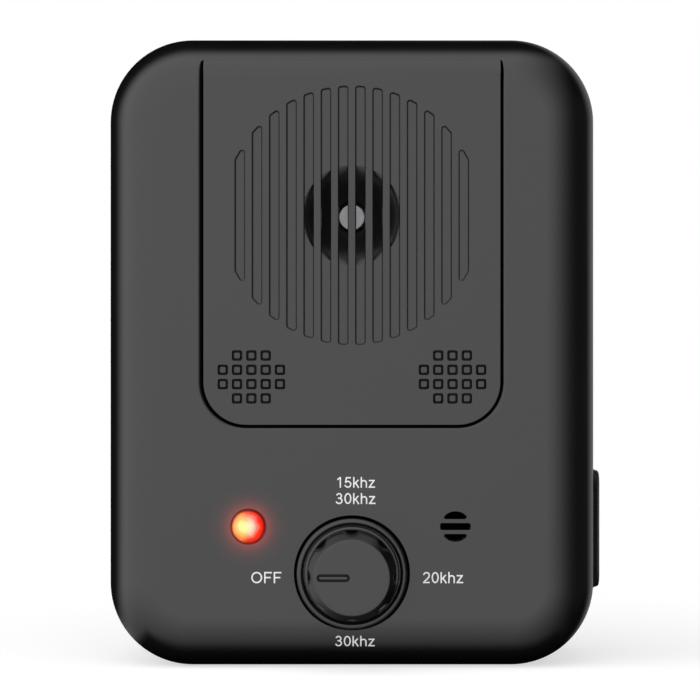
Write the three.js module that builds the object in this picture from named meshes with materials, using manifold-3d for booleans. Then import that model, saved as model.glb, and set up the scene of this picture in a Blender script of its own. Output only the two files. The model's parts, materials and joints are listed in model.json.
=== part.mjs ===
// Battery-powered ultrasonic repeller: a two-shell housing with an inlaid sound grille, a rotary
// mode switch with a scalloped knob, a red pilot lens, a microphone port and a rubber-covered
// charging socket. Inside are the horn driver, the circuit board and a single rechargeable cell.
//
// Frame, in millimetres: +Z up, +X to the right as seen from the front, the front face looks
// along -Y, and the origin is the centre of the flat base. A "plan" shape below is drawn as seen
// from the front: its x is X and its y is Z.

import * as THREE from "three";
import { mergeVertices } from "three/addons/utils/BufferGeometryUtils.js";
import Module from "manifold-3d";

const wasm = await Module();
wasm.setup();

// ---------------------------------------------------------------- driving dimensions

const BODY = {
  width: 82,
  height: 106,
  depth: 36,
  cornerR: 14, // corners seen from the front
  frontEdgeR: 8.7,
  rearEdgeR: 6,
  wall: 2,
  partingY: 4,
  partingGap: 0.3,
};
const RIM = { lip: 0.9, ledgeDrop: 2.2, sealHeight: 0.9, gap: 0.3 };
const FIT = { touch: 0.1, slide: 0.3, pin: 0.1, running: 0.05 };

const PANEL = {
  halfWidth: 24.85,
  cornerR: 7.2,
  sunk: 0.25, // the grille's face lies this far behind the housing's
  thickness: 1.55,
  topDrop: 4, // from the housing's top to the grille's upper edge
  gap: 0.45, // the shadow line round it
  floor: 1.6, // the housing's wall behind it
  belowSpeaker: 35.05,
  pegR: 1,
  pegLength: 2.4,
  pegInset: 5.2,
};
const SLOTS = { count: 14, pitch: 2.88, width: 1.65, circleR: 21.65, depth: 0.8, cornerR: 0.55 };
const DIMPLES = {
  rows: [3, 5, 5, 3],
  pitch: 2.39,
  size: 1.74,
  cornerR: 0.3,
  depth: 0.5,
  offsetX: 16.8,
  abovePanelBottom: 8.05,
};

const SPEAKER = {
  belowTop: 30.1,
  mouthR: 8.4,
  collarWall: 0.6,
  throatR: 2.4,
  flareLength: 5.9,
  shoulderR: 11,
  shoulderSet: 1.1, // between the housing's floor and the horn's shoulder, filled by the gasket
  shoulderThick: 1,
  neckR: 9.4,
  postLength: 5,
  flangeSize: 40,
  flangeCornerR: 4,
  flangeThick: 1.6,
  screwSpan: 16.5,
  canR: 15.5,
  canWall: 1.2,
  canDepth: 9,
  discR: 12.5,
  discThick: 0.5,
  buttonR: 2.1,
  buttonSet: 0.5,
};

const KNOB = {
  centreZ: 16.1,
  baseR: 7.65,
  rimR: 7.4,
  topR: 6.2,
  height: 9.8,
  chamfer: 1.5,
  standOff: 0.25,
  wall: 1.4,
  cap: 1.5,
  hubR: 3.5,
  scallops: 8,
  scallopR: 1.9,
  scallopDepth: 0.55,
  pointerLength: 5.45,
  pointerWidth: 1.25,
  pointerDepth: 0.4,
  pointerInset: 0.35,
};
const BEZEL = { recessGap: 0.4, ringWall: 1.15, recessDepth: 1, base: 0.7, rise: 1.5, clearance: 0.45 };
const SWITCH = {
  size: 13,
  plate: 1.2,
  bushingR: 3.1,
  bushingLength: 5.6,
  shaftR: 2,
  flat: 0.7,
  bodyDepth: 5.2,
  cavityR: 5.7,
  rotorR: 5.4,
  rotorThick: 2.8,
  baseThick: 1.2,
  washerR: 4.8,
  washerThick: 0.4,
  nutR: 4.8,
  nutThick: 2,
  ballR: 0.8,
  ballTrackR: 4,
  pinR: 0.4,
  pinTrack: 4.6,
};

const LED = {
  x: -17.3,
  z: 23.9,
  lensR: 2.8,
  dome: 2,
  flangeR: 3.9,
  flange: 0.8,
  bulbR: 1.5,
  bulb: 4.6,
  legAt: 0.9,
};
const MIC = {
  x: 17.3,
  z: 23.9,
  openR: 2.5,
  slotHalf: 0.56, // the middle slot
  ribTo: 1.3, // the outer edge of the rib either side of it
  capsuleR: 3,
  capsule: 2.7,
  legAt: 1.2,
  bootWall: 1.1,
  bootLip: 0.7,
  seatWall: 0.9,
  seat: 3,
};

const BOARD = {
  standOff: 8.2,
  thickness: 1.6,
  edgeGap: 2,
  bottomZ: 6,
  topZ: 53.4,
  notch: 9.2,
  postR: 2.5,
  pilotR: 0.95,
  pinThrough: 0.8,
};
const PORT = {
  socketZ: 20.3,
  coverZ: 22.8, // the rubber cover's middle
  coverLength: 20.6,
  coverWidth: 8.4,
  coverProud: 1.3,
  seatDepth: 0.9,
  throatLength: 12.8,
  throatWidth: 6.8,
  plugDepth: 0.55,
  hingeDown: 3.4, // from the cover's top to its hinge line
  stalkR: 1.1,
  hingeGap: 0.5,
  socketLength: 8.9,
  socketHeight: 3.2,
  socketDepth: 7.3,
  socketWall: 0.35,
  mouthIn: 1.6,
};
const CELL = {
  r: 9.15,
  length: 65,
  z: 38,
  capR: 3.2,
  cap: 0.8,
  tab: 0.3,
  tabWidth: 6,
  cradleX: 20,
  cradle: 1.6,
  cradleFrontY: 8,
};
const TOWER = {
  inset: 9.5,
  r: 4,
  bossR: 3.2,
  wellR: 3.2,
  wellDepth: 3.6,
  holeR: 1.7,
  pilotR: 1.6,
  pilotDepth: 9,
};
const KEYHOLE = {
  z: 88,
  entryR: 4.2,
  slotHalf: 2.25,
  travel: 7,
  pocketHalf: 4.8,
  pocketDepth: 4.6,
  pocketWall: 1.2,
};
const LABEL = { width: 50, height: 28, z: 50, recess: 0.4, thickness: 0.2, cornerR: 2, gap: 0.3 };

const SCREWS = {
  case: { shankR: 1.45, length: 17, headR: 2.8, head: 2.2, cross: 0.7 },
  board: { shankR: 0.85, length: 6.5, headR: 1.9, head: 1.3, cross: 0.45 },
};
const FACETS = { small: 8, medium: 16, large: 32, corner: 6, edge: 5 };

// ---------------------------------------------------------------- places worked out from them

const frontY = -BODY.depth / 2;
const rearY = BODY.depth / 2;
const innerFrontY = frontY + BODY.wall;
const innerRearY = rearY - BODY.wall;
const sideX = BODY.width / 2;
const rearRimY = BODY.partingY + BODY.partingGap;
const sealRearY = BODY.partingY - RIM.ledgeDrop + FIT.touch + RIM.sealHeight;

const speakerZ = BODY.height - SPEAKER.belowTop;
const panelBottomZ = speakerZ - PANEL.belowSpeaker;
const panelFaceY = frontY + PANEL.sunk;
const panelBackY = panelFaceY + PANEL.thickness;
const pocketFloorY = panelBackY + FIT.touch;
const pocketRearY = pocketFloorY + PANEL.floor;
const hornCollarR = SPEAKER.mouthR + SPEAKER.collarWall;
const hornFrontY = panelBackY + FIT.touch;
const flangeY = pocketRearY + SPEAKER.postLength + FIT.touch;

const boardFrontY = innerFrontY + BOARD.standOff;
const boardRearY = boardFrontY + BOARD.thickness;
const boardHalf = sideX - BODY.wall - BOARD.edgeGap;
const socketY = boardRearY + FIT.touch + PORT.socketHeight / 2;
const socketMouthX = sideX - PORT.mouthIn;

const bezelInnerR = KNOB.baseR + BEZEL.clearance;
const bezelOuterR = bezelInnerR + BEZEL.ringWall;
const bezelRecessR = bezelOuterR + BEZEL.recessGap;
const bezelSeatY = frontY + BEZEL.recessDepth;
const bezelFloorY = bezelSeatY - FIT.running - BEZEL.base;
const switchPlateY = innerFrontY + FIT.touch;
const switchBodyY = switchPlateY + SWITCH.plate + FIT.touch;
const switchBaseY = switchBodyY + SWITCH.bodyDepth + FIT.touch;
const knobBackY = frontY - KNOB.standOff + FIT.touch;
const knobTopY = knobBackY - KNOB.height;

const coverTopZ = PORT.coverZ + PORT.coverLength / 2;
const hingeZ = coverTopZ - PORT.hingeDown;
const stalkZ = coverTopZ - PORT.hingeDown / 2;
const cellY = innerRearY - FIT.slide - CELL.r;

const quadrants = [
  [-1, -1],
  [-1, 1],
  [1, -1],
  [1, 1],
];
const towers = quadrants.map(([sx, sz]) => ({
  x: sx * (sideX - TOWER.inset),
  z: BODY.height / 2 + sz * (BODY.height / 2 - TOWER.inset),
}));
const boardPosts = [
  { x: 4.5 - boardHalf, z: 19 },
  { x: 4.5 - boardHalf, z: BOARD.topZ - 5 },
  { x: boardHalf - 4.5, z: BOARD.topZ - 5 },
  { x: 21, z: BOARD.bottomZ + 4.5 },
];
const speakerPosts = quadrants.map(([sx, sz]) => ({
  x: sx * SPEAKER.screwSpan,
  z: speakerZ + sz * SPEAKER.screwSpan,
}));
const pegs = [-1, 1].flatMap((sx) => [
  { x: sx * (PANEL.halfWidth - PANEL.pegInset), z: panelBottomZ + PANEL.pegInset - 2 },
  { x: sx * (PANEL.halfWidth - 2.2), z: speakerZ + SPEAKER.flangeSize / 2 },
]);

// ---------------------------------------------------------------- solids

/** A closed three.js geometry as a manifold-3d solid whose faces point outwards. */
function solid(geometry) {
  const bare = new THREE.BufferGeometry().setAttribute("position", geometry.getAttribute("position"));
  if (geometry.index) bare.setIndex(geometry.index);
  const merged = mergeVertices(bare, 1e-4);
  const vertProperties = merged.getAttribute("position").array;
  const make = (triVerts) => new wasm.Manifold(new wasm.Mesh({ numProp: 3, vertProperties, triVerts }));
  const corners = new Uint32Array(merged.index.array);
  const made = make(corners);
  return made.volume() > 0 ? made : make(corners.reverse());
}

/** A solid's vertices and triangles as a three.js geometry. */
function geometryOf(made) {
  const mesh = made.getMesh();
  const geometry = new THREE.BufferGeometry();
  geometry.setAttribute("position", new THREE.BufferAttribute(new Float32Array(mesh.vertProperties), 3));
  geometry.setIndex(new THREE.BufferAttribute(new Uint32Array(mesh.triVerts), 1));
  geometry.computeVertexNormals();
  return geometry;
}

const joined = (solids) => solids.reduce((all, one) => all.add(one));
const cut = (from, solids) => solids.reduce((left, one) => left.subtract(one), from);

/** A plan shape extruded between two depths along Y. */
function prism(shape, y0, y1, curveSegments = FACETS.corner) {
  const geometry = new THREE.ExtrudeGeometry(shape, { depth: y1 - y0, bevelEnabled: false, curveSegments });
  return solid(geometry.rotateX(Math.PI / 2).translate(0, y1, 0));
}

/** A shape drawn in Y and Z, extruded between two places along X. */
function sidePrism(shape, x0, x1, curveSegments = FACETS.corner) {
  const turn = new THREE.Matrix4().makeBasis(
    new THREE.Vector3(0, 1, 0),
    new THREE.Vector3(0, 0, 1),
    new THREE.Vector3(1, 0, 0),
  );
  const geometry = new THREE.ExtrudeGeometry(shape, { depth: x1 - x0, bevelEnabled: false, curveSegments });
  return solid(geometry.applyMatrix4(turn).translate(x0, 0, 0));
}

/** A profile of [radius, y] pairs turned about an axis along Y. A ring's profile repeats its first point. */
function turned(profile, facets = FACETS.medium, x = 0, z = 0) {
  const points = profile.map(([r, y]) => new THREE.Vector2(r, y));
  return solid(new THREE.LatheGeometry(points, facets).translate(x, 0, z));
}

const disc = (r, y0, y1, facets = FACETS.medium, x = 0, z = 0) =>
  turned([[0, y0], [r, y0], [r, y1], [0, y1]], facets, x, z);

const ring = (outer, inner, y0, y1, facets = FACETS.medium, x = 0, z = 0) =>
  turned([[inner, y0], [outer, y0], [outer, y1], [inner, y1], [inner, y0]], facets, x, z);

/** A block given by its lowest and highest corners. */
function block(low, high) {
  const size = high.map((value, i) => value - low[i]);
  const geometry = new THREE.BoxGeometry(...size);
  return solid(geometry.translate(...low.map((value, i) => value + size[i] / 2)));
}

/** A rectangle with round corners, centred on (x, y). */
function roundRect(width, height, r, x = 0, y = 0) {
  const w = width / 2;
  const h = height / 2;
  const shape = new THREE.Shape();
  shape.absarc(x + w - r, y + h - r, r, 0, Math.PI / 2);
  shape.absarc(x - w + r, y + h - r, r, Math.PI / 2, Math.PI);
  shape.absarc(x - w + r, y - h + r, r, Math.PI, 1.5 * Math.PI);
  shape.absarc(x + w - r, y - h + r, r, 1.5 * Math.PI, 2 * Math.PI);
  return shape;
}

/** The housing's outer form, taken in by `inset` all over, with one edge radius at both faces. */
function pillow(edgeR, inset, y0, y1) {
  const r = edgeR - inset;
  const shape = roundRect(
    BODY.width - 2 * edgeR,
    BODY.height - 2 * edgeR,
    BODY.cornerR - edgeR,
    0,
    BODY.height / 2,
  );
  const geometry = new THREE.ExtrudeGeometry(shape, {
    depth: y1 - y0 - 2 * edgeR,
    bevelThickness: r,
    bevelSize: r,
    bevelSegments: FACETS.edge,
    curveSegments: FACETS.corner,
  });
  return solid(geometry.rotateX(Math.PI / 2).translate(0, y1 - edgeR, 0));
}

/** Everything between two depths, wider than the housing. */
const slab = (y0, y1) => block([-BODY.width, y0, -BODY.height], [BODY.width, y1, 2 * BODY.height]);

/** The housing's outline from the front, taken in by `inset`. */
const outline = (inset) =>
  roundRect(BODY.width - 2 * inset, BODY.height - 2 * inset, BODY.cornerR - inset, 0, BODY.height / 2);

/** A thin frame that follows the outline between two insets. */
const frame = (outer, inner, y0, y1) =>
  prism(outline(outer), y0, y1).subtract(prism(outline(inner), y0 - 1, y1 + 1));

/** The grille's outline: straight sides, round lower corners, and a top past the housing's. */
function apron(grow) {
  const w = PANEL.halfWidth + grow;
  const r = PANEL.cornerR + grow;
  const low = panelBottomZ - grow;
  const shape = new THREE.Shape();
  shape.moveTo(w, BODY.height + 10);
  shape.lineTo(-w, BODY.height + 10);
  shape.lineTo(-w, low + r);
  shape.absarc(-w + r, low + r, r, Math.PI, 1.5 * Math.PI);
  shape.absarc(w - r, low + r, r, 1.5 * Math.PI, 2 * Math.PI);
  return shape;
}

// ---------------------------------------------------------------- the parts' list

const object = new THREE.Group();

/** A group at a place, in which the pieces of one sub-assembly sit. */
function assembly(x = 0, y = 0, z = 0) {
  const group = new THREE.Group();
  group.position.set(x, y, z);
  object.add(group);
  return group;
}

/** One named piece. */
function piece(group, name, made, color, roughness = 0.6, metalness = 0) {
  const material = new THREE.MeshStandardMaterial({ color, roughness, metalness });
  const mesh = new THREE.Mesh(geometryOf(made), material);
  mesh.name = name;
  group.add(mesh);
  return mesh;
}

const COLOUR = {
  housing: 0x2b2b2c,
  rubber: 0x141414,
  steel: 0xb9bcc0,
  nickel: 0xc9c6bd,
  brass: 0xc8a24a,
  red: 0xd8281c,
  board: 0x14532f,
  cell: 0x2a5fa5,
  white: 0xe8e8e4,
  felt: 0x1c1c1e,
  copper: 0xb06a3a,
};

// ---------------------------------------------------------------- housing

/** Three slots that make a round microphone port, 2 bars across it. */
function micSlots(y0, y1) {
  const round = disc(MIC.openR, y0, y1, FACETS.medium, MIC.x, MIC.z);
  const low = MIC.x - MIC.openR - 1;
  const high = MIC.x + MIC.openR + 1;
  const band = (z0, z1) => block([low, y0 - 1, MIC.z + z0], [high, y1 + 1, MIC.z + z1]);
  return round.subtract(band(MIC.slotHalf, MIC.ribTo)).subtract(band(-MIC.ribTo, -MIC.slotHalf));
}

/** The seat of the rubber cover in the housing's side, and the way through to the socket. */
function portCuts() {
  const seat = roundRect(
    PORT.coverWidth + 2 * FIT.slide,
    PORT.coverLength + 2 * FIT.slide,
    PORT.coverWidth / 2 + FIT.slide - 0.1,
    socketY,
    PORT.coverZ,
  );
  const { throatWidth, throatLength, socketZ } = PORT;
  const throat = roundRect(throatWidth, throatLength, throatWidth / 2 - 0.1, socketY, socketZ);
  const stalk = disc(PORT.stalkR + FIT.pin, 0, 4 * BODY.wall, FACETS.small).rotate([0, 0, -90]);
  return [
    sidePrism(seat, sideX - PORT.seatDepth, sideX + 5),
    sidePrism(throat, sideX - BODY.wall - 1, sideX + 5),
    stalk.translate([sideX - 2 * BODY.wall, socketY, stalkZ]),
  ];
}

function frontCover() {
  const outer = pillow(BODY.frontEdgeR, 0, frontY, frontY + 4 * BODY.depth).subtract(
    slab(BODY.partingY, 5 * BODY.depth),
  );
  const inner = pillow(BODY.frontEdgeR, BODY.wall, frontY, frontY + 4 * BODY.depth);
  const shell = outer.subtract(inner);
  const pocketWall = prism(apron(PANEL.gap + BODY.wall - 0.4), frontY - 1, pocketRearY).intersect(outer);
  const bosses = towers.map((t) =>
    disc(TOWER.bossR, innerFrontY + 1, BODY.partingY, FACETS.medium, t.x, t.z),
  );
  const boardFeet = boardPosts.map((p) =>
    disc(BOARD.postR, innerFrontY - 0.6, boardFrontY - FIT.touch, FACETS.small, p.x, p.z),
  );
  const speakerFeet = speakerPosts.map((p) =>
    disc(BOARD.postR, pocketFloorY + 0.8, pocketRearY + SPEAKER.postLength, FACETS.small, p.x, p.z),
  );
  const micR = MIC.capsuleR + FIT.pin + MIC.bootWall + FIT.slide;
  const micSeatY = innerFrontY - 0.5;
  const micSeatR = micR + MIC.seatWall;
  const micSeat = ring(micSeatR, micR, micSeatY, innerFrontY + MIC.seat, FACETS.medium, MIC.x, MIC.z);
  const solids = joined([shell, pocketWall, ...bosses, ...boardFeet, ...speakerFeet, micSeat]);
  return cut(solids, [
    prism(apron(PANEL.gap), frontY - 1, pocketFloorY),
    disc(hornCollarR + FIT.slide, frontY, pocketRearY + 0.05, FACETS.large, 0, speakerZ),
    ...pegs.map((p) => disc(PANEL.pegR + FIT.pin, frontY, pocketRearY + 1, FACETS.small, p.x, p.z)),
    disc(bezelRecessR, frontY - 1, bezelSeatY, FACETS.large, 0, KNOB.centreZ),
    disc(SWITCH.bushingR + FIT.pin, frontY - 1, innerFrontY + 1, FACETS.medium, 0, KNOB.centreZ),
    disc(LED.lensR + FIT.pin, frontY - 1, innerFrontY + 1, FACETS.medium, LED.x, LED.z),
    micSlots(frontY - 1, innerFrontY + 0.5),
    ...towers.map((t) =>
      disc(TOWER.pilotR, BODY.partingY - TOWER.pilotDepth, BODY.partingY + 1, FACETS.small, t.x, t.z),
    ),
    ...boardPosts.map((p) => disc(BOARD.pilotR, boardFrontY - 7, boardFrontY + 1, FACETS.small, p.x, p.z)),
    ...speakerPosts.map((p) => disc(BOARD.pilotR, flangeY - 5.6, flangeY + 1, FACETS.small, p.x, p.z)),
    ...portCuts(),
    frame(RIM.lip, BODY.wall + 0.5, BODY.partingY - RIM.ledgeDrop, BODY.partingY + 1),
  ]);
}

/** The hanging slot: a round entry with a narrower slot above it. */
function keyholeShape(grow) {
  const entry = KEYHOLE.entryR + grow;
  const slot = KEYHOLE.slotHalf + grow;
  const join = Math.asin(slot / entry);
  const top = KEYHOLE.z + KEYHOLE.travel;
  const shape = new THREE.Shape();
  shape.absarc(0, KEYHOLE.z, entry, Math.PI / 2 + join, 2.5 * Math.PI - join);
  shape.absarc(0, top, slot, 0, Math.PI);
  return shape;
}

/** A rib that holds the cell, hollowed to its round. */
function cradle(side) {
  const x = side * CELL.cradleX;
  const half = CELL.r + CELL.cradle;
  const low = [x - CELL.cradle / 2, CELL.cradleFrontY, CELL.z - half];
  const high = [x + CELL.cradle / 2, innerRearY + 0.5, CELL.z + half];
  const hollow = disc(CELL.r + FIT.slide / 2, -CELL.length, CELL.length, FACETS.large);
  return block(low, high).subtract(hollow.rotate([0, 0, 90]).translate([0, cellY, CELL.z]));
}

function rearCover() {
  const form = (inset) => pillow(BODY.rearEdgeR, inset, rearY - 4 * BODY.depth, rearY);
  const outer = form(0).subtract(slab(-5 * BODY.depth, rearRimY));
  const shell = outer.subtract(form(BODY.wall));
  const tongue = frame(RIM.lip + RIM.gap, BODY.wall, sealRearY + FIT.touch, rearRimY + 0.5);
  const columns = towers.map((t) => disc(TOWER.r, rearRimY, innerRearY + 0.5, FACETS.medium, t.x, t.z));
  const w = KEYHOLE.pocketHalf;
  const low = KEYHOLE.z - w;
  const high = KEYHOLE.z + KEYHOLE.travel + w;
  const pocketY = rearY - BODY.wall - KEYHOLE.pocketDepth;
  const wall = KEYHOLE.pocketWall;
  const pocket = block([-w - wall, pocketY - wall, low - wall], [w + wall, innerRearY + 0.5, high + wall]);
  const cradles = [-1, 1].map(cradle);
  return cut(joined([shell, tongue, ...columns, pocket, ...cradles]), [
    block([-w, pocketY, low], [w, innerRearY, high]),
    prism(keyholeShape(0), innerRearY - 0.5, rearY + 1),
    ...towers.flatMap((t) => [
      disc(TOWER.wellR, rearY - TOWER.wellDepth, rearY + 1, FACETS.medium, t.x, t.z),
      disc(TOWER.holeR, 0, rearY, FACETS.small, t.x, t.z),
    ]),
    prism(roundRect(LABEL.width, LABEL.height, LABEL.cornerR, 0, LABEL.z), rearY - LABEL.recess, rearY + 1),
  ]);
}

/** One grille slot, its ends following the round field with soft corners. */
function slotShape(x0, x1) {
  const end = (x) => Math.sqrt(SLOTS.circleR ** 2 - x ** 2);
  const corners = [
    [x0, -end(x0)],
    [x0, end(x0)],
    [x1, end(x1)],
    [x1, -end(x1)],
  ].map(([x, z]) => new THREE.Vector2(x, z));
  const shape = new THREE.Shape();
  corners.forEach((corner, i) => {
    const before = corners[(i + 3) % 4];
    const after = corners[(i + 1) % 4];
    const from = corner.clone().add(before.clone().sub(corner).setLength(SLOTS.cornerR));
    const to = corner.clone().add(after.clone().sub(corner).setLength(SLOTS.cornerR));
    if (i === 0) shape.moveTo(from.x, from.y);
    else shape.lineTo(from.x, from.y);
    shape.quadraticCurveTo(corner.x, corner.y, to.x, to.y);
  });
  return shape;
}

/** The square dimples of one cluster, as prisms sunk into the grille's face. */
function dimples(side) {
  const { rows, pitch, size, cornerR, depth } = DIMPLES;
  const middleZ = panelBottomZ + DIMPLES.abovePanelBottom;
  return rows.flatMap((count, row) =>
    Array.from({ length: count }, (_, i) => {
      const x = side * DIMPLES.offsetX + (i - (count - 1) / 2) * pitch;
      const z = middleZ + ((rows.length - 1) / 2 - row) * pitch;
      return prism(roundRect(size, size, cornerR, x, z), panelFaceY - 1, panelFaceY + depth, 1);
    }),
  );
}

function grillePanel() {
  const plate = pillow(BODY.frontEdgeR, 0, frontY, frontY + 4 * BODY.depth)
    .intersect(prism(apron(0), panelFaceY, panelBackY))
    .subtract(block([-sideX, frontY, BODY.height - PANEL.topDrop], [sideX, rearY, BODY.height + 1]));
  const slots = Array.from({ length: SLOTS.count }, (_, i) => {
    const middle = (i - (SLOTS.count - 1) / 2) * SLOTS.pitch;
    const shape = slotShape(middle - SLOTS.width / 2, middle + SLOTS.width / 2);
    return prism(shape, panelFaceY - 1, panelFaceY + SLOTS.depth, 3).translate([0, 0, speakerZ]);
  });
  const slotFloorY = panelFaceY + SLOTS.depth;
  const open = disc(SPEAKER.mouthR, slotFloorY - 0.1, panelBackY + 1, FACETS.large, 0, speakerZ);
  const studs = pegs.map((p) =>
    disc(PANEL.pegR, panelBackY - 0.3, panelBackY + PANEL.pegLength, FACETS.small, p.x, p.z),
  );
  return cut(joined([plate, ...studs]), [...slots, ...dimples(-1), ...dimples(1), open]);
}

/** A pan-head screw whose head rests at y = 0 and whose shank runs along -Y, with a cross recess. */
function screw({ shankR, length, headR, head, cross }) {
  const body = joined([disc(shankR, -length, 0.1, FACETS.small), turned([
    [0, 0],
    [headR, 0],
    [headR, head * 0.6],
    [headR * 0.8, head],
    [0, head],
  ], FACETS.small)]);
  const arm = headR * 0.6;
  return cut(body, [
    block([-arm, head / 2, -cross / 2], [arm, head + 1, cross / 2]),
    block([-cross / 2, head / 2, -arm], [cross / 2, head + 1, arm]),
  ]);
}

function housing() {
  const group = assembly();
  piece(group, "front_cover", frontCover(), COLOUR.housing);
  piece(group, "rear_cover", rearCover(), COLOUR.housing);
  piece(group, "grille_panel", grillePanel(), COLOUR.housing);
  const seal = frame(RIM.lip + RIM.gap, BODY.wall, sealRearY - RIM.sealHeight, sealRearY);
  piece(group, "case_seal", seal, COLOUR.rubber, 0.9);
  const { width, height, gap, cornerR, z } = LABEL;
  const label = roundRect(width - 2 * gap, height - 2 * gap, cornerR, 0, z);
  const labelY = rearY - LABEL.recess + FIT.running;
  piece(group, "rear_label", prism(label, labelY, labelY + LABEL.thickness, 4), COLOUR.steel, 0.5);
  towers.forEach((t, i) => {
    const made = piece(group, `case_screw_${i + 1}`, screw(SCREWS.case), COLOUR.steel, 0.35, 1);
    made.position.set(t.x, rearY - TOWER.wellDepth + FIT.touch, t.z);
  });
}

// ---------------------------------------------------------------- sound horn

/** The horn's inner radius at a share of its length from the throat: slow at first, wide at the mouth. */
const flareR = (share) => SPEAKER.throatR + (SPEAKER.mouthR - SPEAKER.throatR) * share ** 1.5;

function horn() {
  const steps = 6;
  const throatY = hornFrontY + SPEAKER.flareLength;
  const flare = Array.from({ length: steps + 1 }, (_, i) => {
    const share = 1 - i / steps;
    return [flareR(share), throatY - share * SPEAKER.flareLength];
  });
  const shoulderY = pocketRearY + SPEAKER.shoulderSet;
  const profile = [
    [hornCollarR, hornFrontY],
    [hornCollarR, shoulderY],
    [SPEAKER.shoulderR, shoulderY],
    [SPEAKER.shoulderR, shoulderY + SPEAKER.shoulderThick],
    [SPEAKER.neckR, shoulderY + SPEAKER.shoulderThick],
    [SPEAKER.neckR, flangeY + SPEAKER.flangeThick],
    [SPEAKER.throatR, flangeY + SPEAKER.flangeThick],
    ...flare.reverse(),
    [hornCollarR, hornFrontY],
  ];
  const { flangeSize, flangeCornerR, flangeThick } = SPEAKER;
  const flange = prism(roundRect(flangeSize, flangeSize, flangeCornerR), flangeY, flangeY + flangeThick, 4);
  const span = SPEAKER.screwSpan;
  const holeR = SCREWS.board.shankR + FIT.slide;
  const holes = quadrants.map(([sx, sz]) =>
    disc(holeR, flangeY - 1, flangeY + 4, FACETS.small, sx * span, sz * span),
  );
  const bore = disc(SPEAKER.throatR, throatY, flangeY + 4, FACETS.large);
  return cut(turned(profile, FACETS.large).add(flange), [...holes, bore]);
}

function speaker() {
  const group = assembly(0, 0, speakerZ);
  piece(group, "speaker_horn", horn(), COLOUR.rubber, 0.3);
  const gasketY = pocketRearY + FIT.touch;
  piece(
    group,
    "speaker_gasket",
    ring(SPEAKER.shoulderR, hornCollarR + FIT.slide, gasketY, pocketRearY + SPEAKER.shoulderSet - FIT.touch),
    COLOUR.felt,
    0.95,
  );
  const canY = flangeY + SPEAKER.flangeThick + FIT.touch;
  const canRearY = canY + SPEAKER.canDepth;
  const { canR, canWall, discR, discThick, buttonR } = SPEAKER;
  const can = turned([
    [0, canRearY],
    [canR, canRearY],
    [canR, canY],
    [canR - canWall, canY],
    [canR - canWall, canRearY - canWall],
    [0, canRearY - canWall],
  ], FACETS.large);
  const lugX = 4;
  const slit = (x) => block([x - 0.5, canRearY - 2 * canWall, -1.5], [x + 0.5, canRearY + 1, 1.5]);
  piece(group, "speaker_can", cut(can, [slit(-lugX), slit(lugX)]), COLOUR.rubber, 0.5);
  const discY = canY + 4.2;
  piece(
    group,
    "piezo_ring",
    ring(canR - canWall - FIT.touch, discR - 1.5, discY + discThick + FIT.touch, discY + discThick + 1.4),
    COLOUR.white,
  );
  const brass = disc(canR - canWall - FIT.slide, discY, discY + discThick, FACETS.large);
  piece(group, "piezo_disc", brass, COLOUR.brass, 0.35, 1);
  const buttonY = hornFrontY + SPEAKER.flareLength - SPEAKER.buttonSet;
  piece(
    group,
    "horn_button",
    turned([
      [0, buttonY],
      [buttonR - 0.2, buttonY],
      [buttonR, buttonY + 0.2],
      [buttonR, buttonY + 0.7],
      [1, buttonY + 1.2],
      [1, discY - 1.8],
      [6.5, discY - 0.5],
      [6.5, discY - FIT.touch],
      [0, discY - FIT.touch],
    ], FACETS.medium),
    COLOUR.steel,
    0.4,
    1,
  );
  [-1, 1].forEach((side) => {
    const x = side * lugX;
    const lug = block([x - 0.25, canRearY - canWall - 1, -1.2], [x + 0.25, canRearY + 3, 1.2]);
    piece(group, side < 0 ? "speaker_lug_minus" : "speaker_lug_plus", lug, COLOUR.nickel, 0.35, 1);
  });
  const span = SPEAKER.screwSpan;
  quadrants.forEach(([sx, sz], i) => {
    const made = piece(group, `speaker_screw_${i + 1}`, screw(SCREWS.board), COLOUR.steel, 0.35, 1);
    made.position.set(sx * span, flangeY + SPEAKER.flangeThick + FIT.touch, sz * span);
  });
  return canRearY;
}

// ---------------------------------------------------------------- rotary mode switch

function knob() {
  const { baseR, rimR, topR, chamfer, wall, cap, hubR, scallops, scallopR, scallopDepth } = KNOB;
  const outer = turned([
    [0, knobTopY],
    [topR, knobTopY],
    [rimR, knobTopY + chamfer],
    [baseR, knobBackY],
    [0, knobBackY],
  ], FACETS.large);
  const hollowR = rimR - scallopDepth - wall;
  const hollow = disc(hollowR, knobTopY + cap, knobBackY + 1, FACETS.medium);
  const hubBackY = bezelFloorY - SWITCH.washerThick - SWITCH.nutThick - 1.6;
  const hub = disc(hubR, knobTopY + cap - 0.2, hubBackY, FACETS.medium);
  const bore = cut(disc(SWITCH.shaftR + FIT.pin, knobTopY + cap + 0.2, knobBackY + 1, FACETS.medium), [
    block([-5, knobTopY, SWITCH.shaftR - SWITCH.flat + FIT.pin], [5, knobBackY, 5]),
  ]);
  const scallop = (i) => {
    const angle = (i * 2 * Math.PI) / scallops;
    const at = rimR + scallopR - scallopDepth;
    const x = at * Math.cos(angle);
    const z = at * Math.sin(angle);
    return disc(scallopR, knobTopY - 1, knobBackY + 1, FACETS.medium, x, z);
  };
  const { pointerLength, pointerWidth, pointerDepth, pointerInset } = KNOB;
  const pointer = prism(
    roundRect(pointerLength, pointerWidth, pointerWidth / 2 - 0.01, -pointerInset - pointerLength / 2, 0),
    knobTopY - 1,
    knobTopY + pointerDepth,
    4,
  );
  const cuts = Array.from({ length: scallops }, (_, i) => scallop(i));
  return cut(cut(outer, [hollow]).add(hub), [bore, ...cuts, pointer]);
}

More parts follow.
